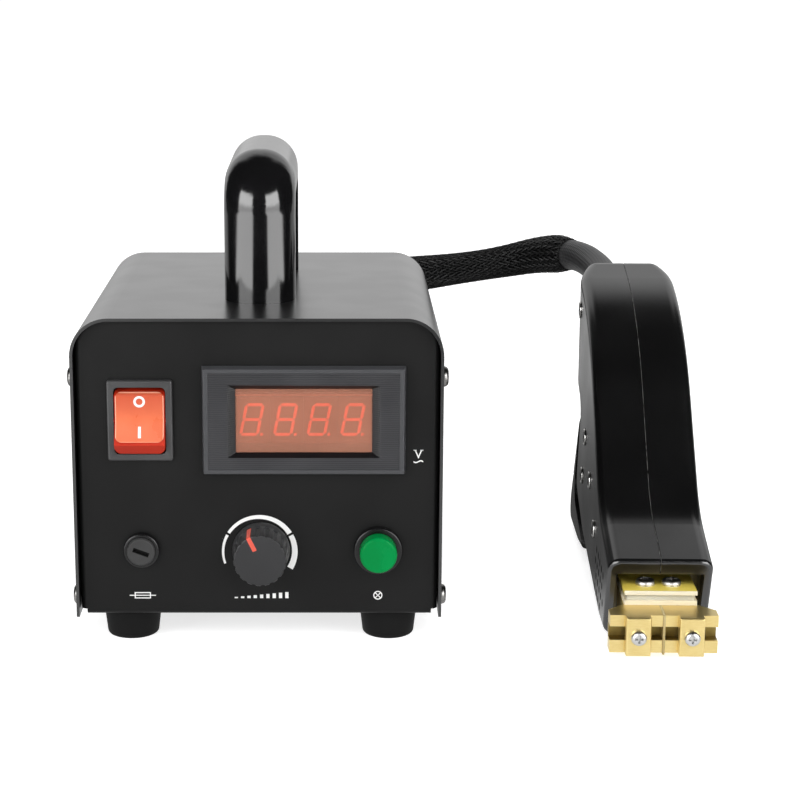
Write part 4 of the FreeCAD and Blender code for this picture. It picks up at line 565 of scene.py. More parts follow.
@dataclass(frozen=True)
class Band(Zone):
    """Thin band on both sides of a plane; near and far say, in millimetres, where it fades."""

    point: Point
    across: Point
    near: float
    far: float
    colour: Colour
    rough: float
    broken: float = 0.0
    gaps: Span = (0.32, 0.72)

    def mask(self, graph: Graph, spot: Socket) -> Socket:
        """Fade over the distance from the plane, with noisy gaps that break the band.

        Args:
            graph: The material's nodes.
            spot: The surface point's socket.

        Returns:
            A mask, 1 on the plane.
        """
        away = graph.vector("DOT_PRODUCT", graph.vector("SUBTRACT", spot, self.point), self.across)
        band = graph.span(graph.math("ABSOLUTE", away), self.near * MM, self.far * MM, 1.0, 0.0, smooth=True)
        if not self.broken:
            return band
        gaps = graph.span(graph.noise(spot, self.broken, 3.0, 0.6), *self.gaps)
        return graph.math("MULTIPLY", band, gaps)


@dataclass(frozen=True)
class Block(Zone):
    """Inside of a block, or all that is outside it; its half sizes and its fade are in millimetres."""

    middle: Point
    half: Point
    colour: Colour
    rough: float
    inside: bool = True
    fade: float = 0.15
    turn: float = 0.0

    def mask(self, graph: Graph, spot: Socket) -> Socket:
        """Step down at the block's sides.

        Args:
            graph: The material's nodes.
            spot: The surface point's socket.

        Returns:
            A mask, 1 in the zone.
        """
        if self.turn:
            node = graph.add("ShaderNodeVectorRotate", rotation_type="Y_AXIS")
            graph.feed(spot, node.inputs["Vector"])
            node.inputs["Center"].default_value = self.middle
            node.inputs["Angle"].default_value = math.radians(self.turn)
            spot = node.outputs["Vector"]
        offsets = graph.split(graph.vector("ABSOLUTE", graph.vector("SUBTRACT", spot, self.middle)))
        sides = [graph.span(away, reach * MM, (reach + self.fade) * MM, 1.0, 0.0)
                 for away, reach in zip(offsets, self.half)]
        within = graph.math("MULTIPLY", graph.math("MULTIPLY", sides[0], sides[1]), sides[2])
        return within if self.inside else graph.math("SUBTRACT", 1.0, within)


@dataclass(frozen=True)
class Finish:
    """One material: two close colours, a roughness range and a pattern that carries them."""

    slot: str
    colour: Colour
    second: Colour
    rough: Span
    pattern: Pattern = Pattern.SPECKLE
    fine: float = 2600.0
    patch: float = 45.0
    direction: Point = (1.0, 1.0, 1.0)
    depth: float = 0.00003
    bump: float = 0.25
    metallic: float = 0.0
    specular: float = 0.5
    coat: float = 0.0
    coat_rough: float = 0.08
    alpha: float = 1.0
    glow: float = 0.0
    uv: str = ""
    zones: tuple[Zone, ...] = ()

    def material(self) -> bpy.types.Material:
        """Build the finish's material once.

        Returns:
            The material named after the slot.
        """
        found = bpy.data.materials.get("finish_" + self.slot)
        if found:
            return found
        material, graph, shader = new_material("finish_" + self.slot)
        if self.uv:
            spot = graph.add("ShaderNodeUVMap", uv_map=self.uv).outputs["UV"]
        else:
            spot = graph.add("ShaderNodeTexCoord").outputs["Object"]
        self.feed(graph, shader, spot)
        self.constants(shader)
        return material

    def feed(self, graph: Graph, shader: bpy.types.Node, spot: Socket) -> None:
        """Join the pattern and the zones to the shader's colour, roughness and normal.

        Args:
            graph: The material's nodes.
            shader: The material's shader.
            spot: The surface point's socket.
        """
        group = patterned(graph, self.pattern, spot, self.fine, self.patch)
        group.inputs["Direction"].default_value = self.direction
        height, mask = group.outputs["Height"], group.outputs["Mask"]
        colour = graph.blend(mask, self.colour, self.second)
        rough = graph.span(mask, 0.0, 1.0, *self.rough)
        for zone in self.zones:
            within = zone.mask(graph, spot)
            colour = graph.blend(within, colour, zone.colour)
            rough = graph.span(within, 0.0, 1.0, rough, zone.rough)
        graph.feed(colour, shader.inputs["Base Color"])
        graph.feed(rough, shader.inputs["Roughness"])
        graph.relief(shader, height, self.bump, self.depth)
        if self.glow:
            graph.feed(colour, shader.inputs["Emission Color"])

    def constants(self, shader: bpy.types.Node) -> None:
        """Set what is the same all over the surface on the shader itself.

        Args:
            shader: The material's shader.
        """
        values = (("Metallic", self.metallic), ("Specular IOR Level", self.specular),
                  ("Coat Weight", self.coat), ("Coat Roughness", self.coat_rough), ("Alpha", self.alpha),
                  ("Emission Strength", self.glow))
        for name, value in values:
            shader.inputs[name].default_value = value


def handset_axes() -> tuple[Point, Point]:
    """Directions across the handset and back along it."""
    turn = math.radians(HANDSET.yaw)
    return (math.cos(turn), -math.sin(turn), 0.0), (math.sin(turn), math.cos(turn), 0.0)


def rocker_pivot() -> Vector:
    """Middle of the rocker's axis."""
    joint = next(item for item in frame["joints"] if item["name"] == "rocker_tilt")
    return Vector(joint["pos_m"])


def lines(pitch: float) -> float:
    """Phase per metre of lines that lie a pitch in millimetres apart."""
    return 2 * math.pi / (pitch * MM)


def screw_steel(slot: str, colour: Colour, second: Colour, rough: Span,
                drawn: Point = (4.0, 4.0, 1.0)) -> Finish:
    """Bare steel of a turned screw, with fine streaks."""
    return Finish(slot, colour, second, rough, Pattern.STREAK, 900.0, 200.0, drawn, metallic=1.0, bump=0.1)


ACROSS, ALONG = handset_axes()
UP = (0.0, 0.0, 1.0)
THROUGH = 60.0
HANDSET_MIDDLE = HANDSET.at(0.0, 0.0, 0.0)
METER_MIDDLE = tuple(BENCH.at(18.0, 0.0, 92.0))
FUSE_MIDDLE = tuple(BENCH.at(-46.0, 0.0, 39.5))
GROOVE_MIDDLE = tuple(HANDSET.at(0.0, 3.5, 10.6))
WINDOW_TOP = tuple(BENCH.at(18.0, 0.0, 102.2))
ROCKER_PLACE = rocker_pivot()
ROCKER_MIDDLE = (ROCKER_PLACE.x, ROCKER_PLACE.y, ROCKER_PLACE.z + 1.72 * MM)
ROCKER_TOP = (ROCKER_PLACE.x, ROCKER_PLACE.y, ROCKER_PLACE.z + 13.0 * MM)
LAYER_FRONT = (HANDSET_MIDDLE.x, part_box("top_layer")[0].y + 0.4 * MM, 0.0)

# A pale broken line painted along the seam between the handset's shells.
SEAM_PALE_LINE = Band(tuple(HANDSET_MIDDLE), ACROSS, 0.05, 0.17, (0.22, 0.22, 0.21), 0.5, broken=420.0)
METER_RIM = Block(METER_MIDDLE, (37.0, THROUGH, 19.0), (0.050, 0.051, 0.055), 0.40, inside=False)
# Painted shade: the walls of the window's recess in the bezel are darkened.
METER_WELL_SHADE = Block(METER_MIDDLE, (29.3, THROUGH, 14.3), (0.0025, 0.0025, 0.003), 0.42)
# Painted reflection: a pale line across the tinted window just under its top edge.
WINDOW_TOP_REFLECTION = Band(WINDOW_TOP, UP, 0.10, 0.42, (0.60, 0.235, 0.155), 0.3)
# Painted shade: a black bar over the fuse cap's slot, wider than the slot itself.
FUSE_SLOT_SHADE = Block(FUSE_MIDDLE, (3.2, THROUGH, 0.85), (0.001, 0.001, 0.001), 0.7, turn=-20.0)
# Painted highlight: a pale rim round the edges of the rocker's face plate.
ROCKER_RIM_HIGHLIGHT = Block(ROCKER_MIDDLE, (8.95, THROUGH, 9.1), (0.88, 0.42, 0.28), 0.3, inside=False, fade=0.25)
ROCKER_SHADE = Block(ROCKER_TOP, (THROUGH, THROUGH, 3.0), (0.56, 0.085, 0.034), 0.3, fade=9.0)
# Painted shade: the brass is darker in the groove across the head.
GROOVE_SHADE = Block(GROOVE_MIDDLE, (30.0, 2.7, 2.85), (0.26, 0.19, 0.055), 0.42)
LAYER_EDGE = Band(LAYER_FRONT, ALONG, 0.45, 0.6, (0.80, 0.74, 0.58), 0.5)

FINISHES = {finish.slot: finish for finish in (
    Finish("cover_paint", (0.0060, 0.0060, 0.0063), (0.0075, 0.0075, 0.0078), (0.30, 0.35), fine=2200.0,
           bump=0.02, coat=0.8, coat_rough=0.26),
    Finish("panel_paint", (0.0042, 0.0042, 0.0042), (0.0058, 0.0058, 0.0058), (0.42, 0.52), fine=3200.0,
           bump=0.22, specular=0.16),
    screw_steel("zinc_screw", (0.50, 0.50, 0.49), (0.66, 0.66, 0.65), (0.26, 0.40), drawn=(1.0, 4.0, 4.0)),
    screw_steel("dark_screw", (0.16, 0.155, 0.15), (0.30, 0.295, 0.29), (0.22, 0.36)),
    Finish("black_moulding", (0.0035, 0.0035, 0.0038), (0.0055, 0.0055, 0.0060), (0.10, 0.15), fine=900.0,
           bump=0.02, specular=0.8),
    Finish("meter_moulding", (0.013, 0.013, 0.015), (0.034, 0.034, 0.037), (0.38, 0.48), Pattern.RIPPLE,
           lines(0.85), 60.0, UP, depth=0.00008, bump=0.6, specular=0.35, zones=(METER_RIM, METER_WELL_SHADE)),
    Finish("knob_moulding", (0.013, 0.013, 0.014), (0.020, 0.020, 0.021), (0.38, 0.50), specular=0.4),
    Finish("shell_moulding", (0.0026, 0.0026, 0.0027), (0.0036, 0.0036, 0.0037), (0.19, 0.26), fine=2400.0,
           bump=0.05, specular=1.0, zones=(SEAM_PALE_LINE,)),
    Finish("foot_rubber", (0.0035, 0.0035, 0.0035), (0.006, 0.006, 0.006), (0.55, 0.70), fine=1800.0,
           bump=0.3, specular=0.12),
    Finish("sleeve_rubber", (0.012, 0.012, 0.013), (0.048, 0.048, 0.049), (0.34, 0.46), Pattern.WEAVE,
           lines(3.2), 90.0, (1.0, 1.0, 0.0), depth=0.0002, bump=0.8, uv="tube"),
    Finish("rocker_red", (0.43, 0.020, 0.006), (0.50, 0.028, 0.009), (0.30, 0.40), fine=700.0, bump=0.05,
           specular=0.2),
    Finish("pointer_red", (0.62, 0.075, 0.045), (0.70, 0.10, 0.065), (0.35, 0.45), fine=1500.0, bump=0.1),
    Finish("window_tint", (0.46, 0.185, 0.115), (0.54, 0.225, 0.145), (0.20, 0.28), fine=2200.0, bump=0.04,
           alpha=0.5, zones=(WINDOW_TOP_REFLECTION,)),
    Finish("display_block", (0.36, 0.120, 0.055), (0.43, 0.150, 0.070), (0.5, 0.6), fine=1800.0, bump=0.1),
    Finish("circuit_board", (0.02, 0.13, 0.05), (0.03, 0.19, 0.08), (0.25, 0.4), fine=1100.0, bump=0.3),
    Finish("fuse_glass", (0.72, 0.78, 0.78), (0.80, 0.85, 0.85), (0.04, 0.1), fine=500.0, bump=0.03,
           alpha=0.4),
    Finish("lens_green", (0.0, 0.195, 0.042), (0.0, 0.245, 0.056), (0.22, 0.32), fine=900.0, patch=90.0,
           bump=0.03, specular=0.08, glow=0.06),
    Finish("lamp_glass", (0.7, 0.8, 0.7), (0.8, 0.88, 0.8), (0.08, 0.16), fine=700.0, bump=0.05, alpha=0.7),
    Finish("core_steel", (0.10, 0.10, 0.105), (0.20, 0.20, 0.20), (0.35, 0.5), Pattern.RIPPLE,
           lines(0.7), 80.0, (0.0, 1.0, 0.0), depth=0.0002, bump=0.6, metallic=0.8),
    Finish("winding_copper", (0.42, 0.17, 0.06), (0.60, 0.27, 0.11), (0.25, 0.4), Pattern.RIPPLE,
           lines(1.4), 60.0, UP, depth=0.0003, bump=0.8, metallic=0.6),
    Finish("sink_aluminium", (0.52, 0.53, 0.54), (0.66, 0.67, 0.68), (0.25, 0.4), Pattern.STREAK, 900.0,
           120.0, (6.0, 6.0, 0.4), metallic=1.0),
    Finish("tinned_brass", (0.55, 0.52, 0.44), (0.68, 0.66, 0.60), (0.22, 0.38), Pattern.STREAK, 800.0, 150.0,
           (4.0, 0.6, 4.0), metallic=1.0),
    Finish("head_brass", (0.72, 0.555, 0.22), (0.80, 0.645, 0.29), (0.28, 0.38), Pattern.STREAK, 700.0, 140.0,
           (0.5, 4.0, 4.0), metallic=0.9, bump=0.08, zones=(GROOVE_SHADE,)),
    Finish("fibre_sheet", (0.84, 0.64, 0.08), (0.94, 0.76, 0.15), (0.35, 0.5), Pattern.STREAK, 1200.0, 200.0,
           (4.0, 0.7, 4.0), bump=0.15, zones=(LAYER_EDGE,)),
    Finish("cream_sheet", (0.76, 0.68, 0.50), (0.86, 0.79, 0.62), (0.4, 0.55), Pattern.RIPPLE,
           lines(0.5), 180.0, UP, bump=0.3),
    Finish("clear_sheet", (0.62, 0.60, 0.50), (0.72, 0.71, 0.62), (0.12, 0.24), fine=900.0, bump=0.1,
           alpha=0.85),
    Finish("lead_braid", (0.004, 0.004, 0.004), (0.007, 0.007, 0.007), (0.35, 0.55), fine=1600.0, bump=0.3),
)}

INK = Finish("panel_ink", (0.80, 0.80, 0.79), (0.90, 0.90, 0.89), (0.45, 0.6), fine=2800.0, bump=0.12)
# Painted light: the unlit display segments glow.
SEGMENT = Finish("segment_painted_glow", (0.95, 0.065, 0.028), (0.98, 0.085, 0.038), (0.4, 0.5), fine=1500.0,
                 bump=0.05, glow=1.3)
RIM_STEEL = screw_steel("rim_steel", (0.62, 0.61, 0.59), (0.78, 0.77, 0.75), (0.22, 0.34))
ROCKER_FACE = Finish("rocker_face", (0.70, 0.140, 0.056), (0.78, 0.175, 0.074), (0.24, 0.34), fine=700.0,
                     bump=0.04, patch=120.0, zones=(ROCKER_SHADE, ROCKER_RIM_HIGHLIGHT))
PANEL_MOULDING = Finish("panel_moulding", (0.0040, 0.0040, 0.0042), (0.0060, 0.0060, 0.0063), (0.20, 0.28),
                        fine=900.0, bump=0.03, specular=0.35)
OWN_FINISHES = {
    "switch_body": Finish("switch_frame", (0.030, 0.030, 0.031), (0.040, 0.040, 0.041), (0.36, 0.46),
                          bump=0.15),
    "cover_screws": FINISHES["dark_screw"],
    "lamp_bezel": PANEL_MOULDING,
    "fuse_holder": PANEL_MOULDING,
    "fuse_cap": Finish("fuse_face", (0.042, 0.042, 0.042), (0.056, 0.056, 0.056), (0.40, 0.50), fine=1800.0,
                       bump=0.1, specular=0.12, zones=(FUSE_SLOT_SHADE,)),
    "stack_screws": screw_steel("stack_steel", (0.46, 0.45, 0.43), (0.62, 0.61, 0.59), (0.34, 0.46)),
    "insulator_sheet": Finish("insulator_edge", (0.40, 0.31, 0.13), (0.54, 0.44, 0.22), (0.4, 0.55),
                              bump=0.2),
}


# Studio

@dataclass
class Studio:
    """Camera, floor, backdrop and soft lamps.

    A Span says where a brightness starts and stops changing: in the room by a direction's own numbers, on the
    floor in metres, and across a window by the steps aside for each step ahead.
    """

    eye: Point = (29.1, -759.4, 279.4)
    pitch: float = 13.25
    focal: float = 2025.0
    picture: float = 800.0
    centre_column: float = 332.6
    sensor: float = 36.0
    view_reach: float = 100.0
    floor_reach: float = 30.0
    floor_grey: float = 0.8
    floor_lift: float = 0.74
    backdrop: float = 1.25
    fill: float = 0.45
    dark: float = 0.025
    paper: float = 1.1
    shade: float = 0.12
    sweep: float = 0.55
    glare: float = 4.5
    least: float = 0.001
    sweep_top: Span = (0.66, 0.88)
    sweep_front: Span = (-0.10, 0.15)
    sweep_flare: float = -1.2
    window_sides: tuple[Span, Span] = ((0.26, 0.34), (2.0, 2.6))
    window_top: Span = (0.48, 0.57)
    window_rise: Span = (0.08, 0.24)
    window_ahead: Span = (-0.10, -0.02)
    paper_end: Span = (-0.10, 0.03)
    sweep_start: Span = (0.10, 0.50)
    flank_edge: Span = (0.40, 0.65)
    flank_flare: float = -0.8
    flank_share: float = 0.08
    room_back: float = 0.3
    room_round: Span = (0.40, 0.60)
    room_end: Span = (-0.15, 0.0)
    floor_window: tuple[Span, Span] = ((0.21, 0.29), (1.5, 2.1))
    lamp_aim: Point = (50.0, 40.0, 70.0)
    lamp_boxes: tuple[tuple[str, Point, tuple[float, float], float], ...] = (
        ("softbox_left", (-1150.0, -900.0, 620.0), (0.6, 0.8), 10.0),
        ("softbox_right", (1200.0, -820.0, 620.0), (0.6, 0.8), 10.0),
        ("fill_front", (60.0, -1500.0, 1300.0), (1.6, 1.2), 14.0),
        ("fill_top", (60.0, 60.0, 1900.0), (1.8, 1.8), 9.0))

    def build(self) -> None:
        """Set up everything round the object."""
        self.camera()
        self.world()
        self.floor()
        self.lamps()
        bpy.context.scene.view_settings.view_transform = "Standard"
        LOG.info("studio ready")

    def camera(self) -> None:
        """Place the camera where the photograph was taken from."""
        data = bpy.data.cameras.new("camera")
        data.sensor_width = self.sensor
        data.lens = self.focal / self.picture * self.sensor
        data.shift_x = 0.5 - self.centre_column / self.picture
        data.clip_end = self.view_reach
        camera = bpy.data.objects.new("camera", data)
        camera.location = BENCH.at(*self.eye)
        camera.rotation_euler = (math.radians(90.0 - self.pitch), 0.0, 0.0)
        bpy.context.scene.collection.objects.link(camera)
        bpy.context.scene.camera = camera

    def world(self) -> None:
        """White to the camera; gloss sees a bright back, two windows in front and a dark room elsewhere."""
        world = bpy.data.worlds.new("studio")
        bpy.context.scene.world = world
        world.use_nodes = True
        graph = Graph(world.node_tree)
        path = graph.add("ShaderNodeLightPath").outputs
        x, y, z = graph.split(graph.add("ShaderNodeTexCoord").outputs["Generated"])
        aside = graph.math("ABSOLUTE", x)
        low = graph.span(z, *self.sweep_top, 1.0, 0.0, smooth=True)
        flared = graph.math("MULTIPLY_ADD", aside, self.sweep_flare, y)
        sweep = graph.math("MULTIPLY", low, graph.span(flared, *self.sweep_front, smooth=True))
        ahead = graph.math("MAXIMUM", graph.math("MULTIPLY", y, -1.0), self.least)
        window = self.window(graph, graph.math("DIVIDE", aside, ahead), *self.window_sides)
        window = graph.math("MULTIPLY", window, graph.span(z, *self.window_top, 1.0, 0.0, smooth=True))
        window = graph.math("MULTIPLY", window, graph.span(y, *self.window_ahead, 1.0, 0.0))
        bright = graph.span(z, *self.window_rise, self.glare, 2.0 * self.glare, smooth=True)
        lit = graph.math("MULTIPLY", window, bright)
        gloss = graph.math("MAXIMUM", graph.math("MAXIMUM", sweep, lit), self.dark)
        mirrored = graph.math("MAXIMUM", path["Is Glossy Ray"], path["Is Transmission Ray"])
        other = self.either(graph, mirrored, self.fill, gloss)
        sky = graph.add("ShaderNodeBackground")
        graph.feed(self.either(graph, path["Is Camera Ray"], other, self.backdrop), sky.inputs["Strength"])
        graph.feed(sky.outputs[0], graph.add("ShaderNodeOutputWorld").inputs["Surface"])

    def window(self, graph: Graph, slope: Socket, inner: Span, outer: Span) -> Socket:
        """Tell which directions look into a window.

        Args:
            graph: The nodes.
            slope: How far a direction goes aside for each step ahead.
            inner: Where the window fades in.
            outer: Where it fades out.

        Returns:
            A mask, 1 in the window.
        """
        begun = graph.span(slope, *inner, smooth=True)
        return graph.math("MULTIPLY", begun, graph.span(slope, *outer, 1.0, 0.0, smooth=True))

    def either(self, graph: Graph, factor: object, first: object, second: object) -> Socket:
        """Mix two numbers.

        Args:
            graph: The nodes.
            factor: The mask's socket.
            first: Number where the mask is 0.
            second: Number where the mask is 1.

        Returns:
            The number's socket.
        """
        node = graph.add("ShaderNodeMix", data_type="FLOAT")
        for value, name in ((factor, "Factor"), (first, "A"), (second, "B")):
            graph.feed(value, node.inputs[name])
        return node.outputs["Result"]

    def floor(self) -> None:
        """Pale floor that reaches the horizon and keeps the shadow.

        Gloss sees white paper in front of the object, a painted shadow on the paper under the object and just
        behind it that lightens to grey further back, a dark room in front of the paper, and a bright window to
        each side of that room.
        """
        deselect()
        bpy.ops.mesh.primitive_plane_add(size=2 * self.floor_reach)
        floor = named("floor")
        material = bpy.data.materials.new("floor")
        material.use_nodes = True
        graph = Graph(material.node_tree)
        path = graph.add("ShaderNodeLightPath").outputs
        matt = graph.add("ShaderNodeBsdfDiffuse")
        matt.inputs["Color"].default_value = (*[self.floor_grey] * 3, 1.0)
        lift = graph.add("ShaderNodeEmission")
        through = graph.math("MAXIMUM", path["Is Camera Ray"], path["Is Transmission Ray"])
        graph.feed(graph.math("MULTIPLY", through, self.floor_lift), lift.inputs["Strength"])
        pale = graph.add("ShaderNodeAddShader")
        graph.feed(matt.outputs[0], pale.inputs[0])
        graph.feed(lift.outputs[0], pale.inputs[1])
        mirror = graph.add("ShaderNodeEmission")
        graph.feed(self.mirrored_floor(graph), mirror.inputs["Strength"])
        either = graph.add("ShaderNodeMixShader")
        graph.feed(path["Is Glossy Ray"], either.inputs[0])
        graph.feed(pale.outputs[0], either.inputs[1])
        graph.feed(mirror.outputs[0], either.inputs[2])
        graph.feed(either.outputs[0], graph.add("ShaderNodeOutputMaterial").inputs["Surface"])
        floor.data.materials.append(material)

    def mirrored_floor(self, graph: Graph) -> Socket:
        """Work out how bright the floor is to gloss.

        Args:
            graph: The floor's nodes.

        Returns:
            The brightness.
        """
        spot = graph.add("ShaderNodeTexCoord").outputs["Object"]
        x, y, _ = graph.split(spot)
        aside = graph.math("ABSOLUTE", x)
        # Painted shadow: the paper drops to the shade level under the object and just behind it, and the sweep
        # lightens it again further back.
        paper = graph.span(y, *self.paper_end, self.paper, self.shade, smooth=True)
        sweep = graph.span(y, *self.sweep_start, 0.0, self.sweep - self.shade, smooth=True)
        flank = graph.math("MULTIPLY_ADD", graph.math("MAXIMUM", y, 0.0), self.flank_flare, aside)
        kept = graph.span(flank, *self.flank_edge, 1.0, self.flank_share, smooth=True)
        near = graph.math("MULTIPLY", graph.math("ADD", paper, sweep), kept)
        ahead = graph.math("MAXIMUM", graph.math("SUBTRACT", self.room_back, y), self.least)
        window = self.window(graph, graph.math("DIVIDE", aside, ahead), *self.floor_window)
        room = graph.math("MULTIPLY_ADD", window, self.glare, self.dark)
        away = graph.math("MULTIPLY", graph.span(graph.vector("LENGTH", spot), *self.room_round, smooth=True),
                          graph.span(y, *self.room_end, 1.0, 0.0, smooth=True))
        return self.either(graph, away, near, room)

    def lamps(self) -> None:
        """Two softboxes in front at the sides, and two soft fills; gloss shows the windows in their place."""
        for name, spot, size, power in self.lamp_boxes:
            data = bpy.data.lights.new(name, "AREA")
            data.shape = "RECTANGLE"
            data.size, data.size_y = size
            data.energy = power
            lamp = bpy.data.objects.new(name, data)
            lamp.location = BENCH.at(*spot)
            aim = BENCH.at(*self.lamp_aim) - lamp.location
            lamp.rotation_euler = aim.to_track_quat("-Z", "Y").to_euler()
            lamp.visible_camera = False
            lamp.visible_glossy = False
            bpy.context.scene.collection.objects.link(lamp)


# Lead

@dataclass
class HandsetLead:
    """Woven lead from the rear gland, round one loop behind the box, to the smooth sleeve on the handset."""

    exit_point: Point = (-46.0, 182.0, 45.0)
    route: tuple[Point, ...] = (
        (-46.0, 160.0, 45.0), (-46.0, 203.8, 45.0), (-55.0, 247.0, 33.0), (-49.0, 289.0, 15.5),
        (-20.0, 324.0, 8.45), (24.0, 330.0, 8.45), (63.0, 306.0, 8.45), (78.0, 262.0, 8.45),
        (62.0, 217.0, 8.45), (21.0, 193.0, 8.45), (-27.0, 200.0, 8.45), (-66.0, 221.0, 13.5),
        (-83.0, 258.0, 28.0), (-74.0, 298.0, 45.0), (-43.0, 325.0, 62.0), (-4.0, 331.0, 77.0),
        (33.0, 323.0, 88.0), (63.0, 314.5, 95.0), (92.0, 307.5, 99.6), (117.7, 300.7, 104.6),
        (139.6, 289.3, 111.3), (155.4, 270.4, 113.8), (162.8, 246.9, 110.6))
    entry: tuple[Point, ...] = (
        (0.0, 236.5, 107.1), (0.0, 213.0, 104.5), (0.0, 190.0, 103.5), (0.0, 167.0, 103.5))
    diameter: float = 16.5
    sleeve_diameter: float = 15.2
    sleeve_length: float = 124.0
    sleeve_overlap: float = 4.0
    lip_length: float = 3.0
    lip_share: float = 0.93
    core_share: float = 0.84
    core_clear: float = 0.96
    carriers: int = 30
    pitch: float = 130.0
    ribbon: float = 1.35
    crown: float = 0.30
    rise: float = 0.30
    plain_share: float = 0.96
    bundle_share: float = 1.13
    bundle_swing: float = 0.125
    bundle_length: float = 112.0
    bundle_reach: float = 160.0
    bundle_start: float = 0.25
    tuck_length: float = 12.0
    tuck_share: float = 0.80
    line_steps: int = 24
    ring_step: float = 1.6
    sides: int = 28
    tube_angle: float = 50.0

    def build(self) -> None:
        points = self.spline_points()
        frames = self.carried_frames(points)
        total = frames[-1][0]
        join = total - self.sleeve_length * MM
        core = self.sweep("lead_core", frames, 0.0, total, lambda s: self.core_radius(s, join))
        braid = self.braid(frames, join)
        mouth = join - self.sleeve_overlap * MM
        sleeve = self.sweep("lead_boot", frames, mouth, total, lambda s: self.sleeve_radius(s, join))
        finish = FINISHES["lead_braid"].material()
        dressed(core, "base", finish)
        dressed(braid, "base", BraidFinish().material())
        dressed(sleeve, "base", FINISHES["sleeve_rubber"].material())
        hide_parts("handset_lead")
        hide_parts("lead_sleeve")
        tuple(BENCH.at(*self.exit_point))
        LOG.info("lead %.3f m long, sleeve from %.3f m", total, join)

    def spline_points(self) -> list[Vector]:
        """Read the smooth line from a NURBS spline whose control points are the route.

        Returns:
            Points close together along the line, in the frame.
        """
        places = [BENCH.at(*p) for p in self.route] + [HANDSET.at(*p) for p in self.entry]
        curve = bpy.data.curves.new("lead_line", "CURVE")
        curve.dimensions = "3D"
        curve.resolution_u = self.line_steps
        spline = curve.splines.new("NURBS")
        spline.points.add(len(places) - 1)
        for point, spot in zip(spline.points, places):
            point.co = (*spot, 1.0)
        spline.order_u = 3
        spline.use_endpoint_u = True
        line = bpy.data.objects.new("lead_line", curve)
        bpy.context.scene.collection.objects.link(line)
        bpy.context.view_layer.update()
        mesh = bpy.data.meshes.new_from_object(line)
        points = [vertex.co.copy() for vertex in mesh.vertices]
        bpy.data.objects.remove(line)
        bpy.data.curves.remove(curve)
        bpy.data.meshes.remove(mesh)
        return points

    def carried_frames(self, points: Sequence[Vector]) -> list[LineFrame]:
        """Carry a pair of cross directions along the line without twist.

        Args:
            points: The line's points.

        Returns:
            Distance along the line, the point, and two directions across it.
        """
        frames = []
        across = Vector((0.0, 0.0, 1.0))
        run = 0.0
        for i, point in enumerate(points):
            ahead = points[min(i + 1, len(points) - 1)] - points[max(i - 1, 0)]
            ahead.normalize()
            across = (across - ahead * across.dot(ahead)).normalized()
            if i:
                run += (point - points[i - 1]).length
            frames.append((run, point, across.copy(), ahead.cross(across)))
        return frames

    def at(self, frames: Sequence[LineFrame], run: float, start: int) -> tuple[int, Vector, Vector, Vector]:
        """Find the line's frame at a distance.

        Args:
            frames: The frames along the line.
            run: Distance along it.
            start: Where to start looking.

        Returns:
            The place in the list, the point and the two cross directions.
        """
        i = start
        while i < len(frames) - 2 and frames[i + 1][0] < run:
            i += 1
        a, b = frames[i], frames[i + 1]
        part = (run - a[0]) / max(b[0] - a[0], 1e-9)
        return i, a[1].lerp(b[1], part), a[2].lerp(b[2], part), a[3].lerp(b[3], part)

    def thickness(self, run: float, join: float) -> float:
        """Share of the full radius: towards the sleeve the loose braid bulges and slims.

        Args:
            run: Distance along the line.
            join: Where the sleeve starts.

        Returns:
            A factor near 1.
        """
        reached = max((run - join) / (self.bundle_reach * MM) + 1.0, 0.0)
        loose = min(reached / self.bundle_start, 1.0)
        bulge = self.bundle_swing * math.cos(2 * math.pi * (run - join) / (self.bundle_length * MM))
        return self.plain_share + (self.bundle_share + bulge - self.plain_share) * loose

    def core_radius(self, run: float, join: float) -> float:
        """Work out the radius of the dark core under the braid and the sleeve.

        Args:
            run: Distance along the line.
            join: Where the sleeve starts.

        Returns:
            The radius in metres.
        """
        narrow = self.sleeve_diameter / self.diameter * self.core_clear
        share = min(self.core_share * self.thickness(run, join), narrow)
        return self.diameter / 2 * MM * share

    def sleeve_radius(self, run: float, join: float) -> float:
        """Work out the radius of the sleeve, which is rolled in at its open end.

        Args:
            run: Distance along the line.
            join: Where the sleeve starts to carry the lead.

        Returns:
            The radius in metres.
        """
        lip = min(max((run - join + self.sleeve_overlap * MM) / (self.lip_length * MM), 0.0), 1.0)
        share = self.lip_share + (1.0 - self.lip_share) * math.sin(lip * math.pi / 2)
        return self.sleeve_diameter / 2 * MM * share

    def sweep(self, name: str, frames: Sequence[LineFrame], start: float, end: float,
              radius: Callable[[float], float]) -> Piece:
        """Sweep a round tube along part of the line, closed at both ends.

        Args:
            name: The piece's name.
            frames: The frames along the line.
            start: First distance.
            end: Last distance.
            radius: Radius at a distance.

        Returns:
            The tube.
        """
        steps = int((end - start) / (self.ring_step * MM))
        points, faces, coords = [], [], []
        slice_width = math.pi * self.diameter * MM / self.sides
        i = 0
        for k in range(steps + 1):
            run = start + (end - start) * k / steps
            i, centre, across, up = self.at(frames, run, i)
            for j in range(self.sides):
                turn = 2 * math.pi * j / self.sides
                points.append(centre + (across * math.cos(turn) + up * math.sin(turn)) * radius(run))
            if k:
                first, here = (k - 1) * self.sides, k * self.sides
                before = run - (end - start) / steps
                for j in range(self.sides):
                    n = (j + 1) % self.sides
                    faces.append((first + j, first + n, here + n, here + j))
                    left, right = j * slice_width, (j + 1) * slice_width
                    coords += [(left, before), (right, before), (right, run), (left, run)]
        faces.append(tuple(reversed(range(self.sides))))
        faces.append(tuple(range(steps * self.sides, (steps + 1) * self.sides)))
        coords += [(0.0, start)] * self.sides + [(0.0, end)] * self.sides
        tube = mesh_piece(name, points, faces)
        self.lay_coords(tube, "tube", coords)
        tidy_mesh(tube, self.tube_angle)
        return tube

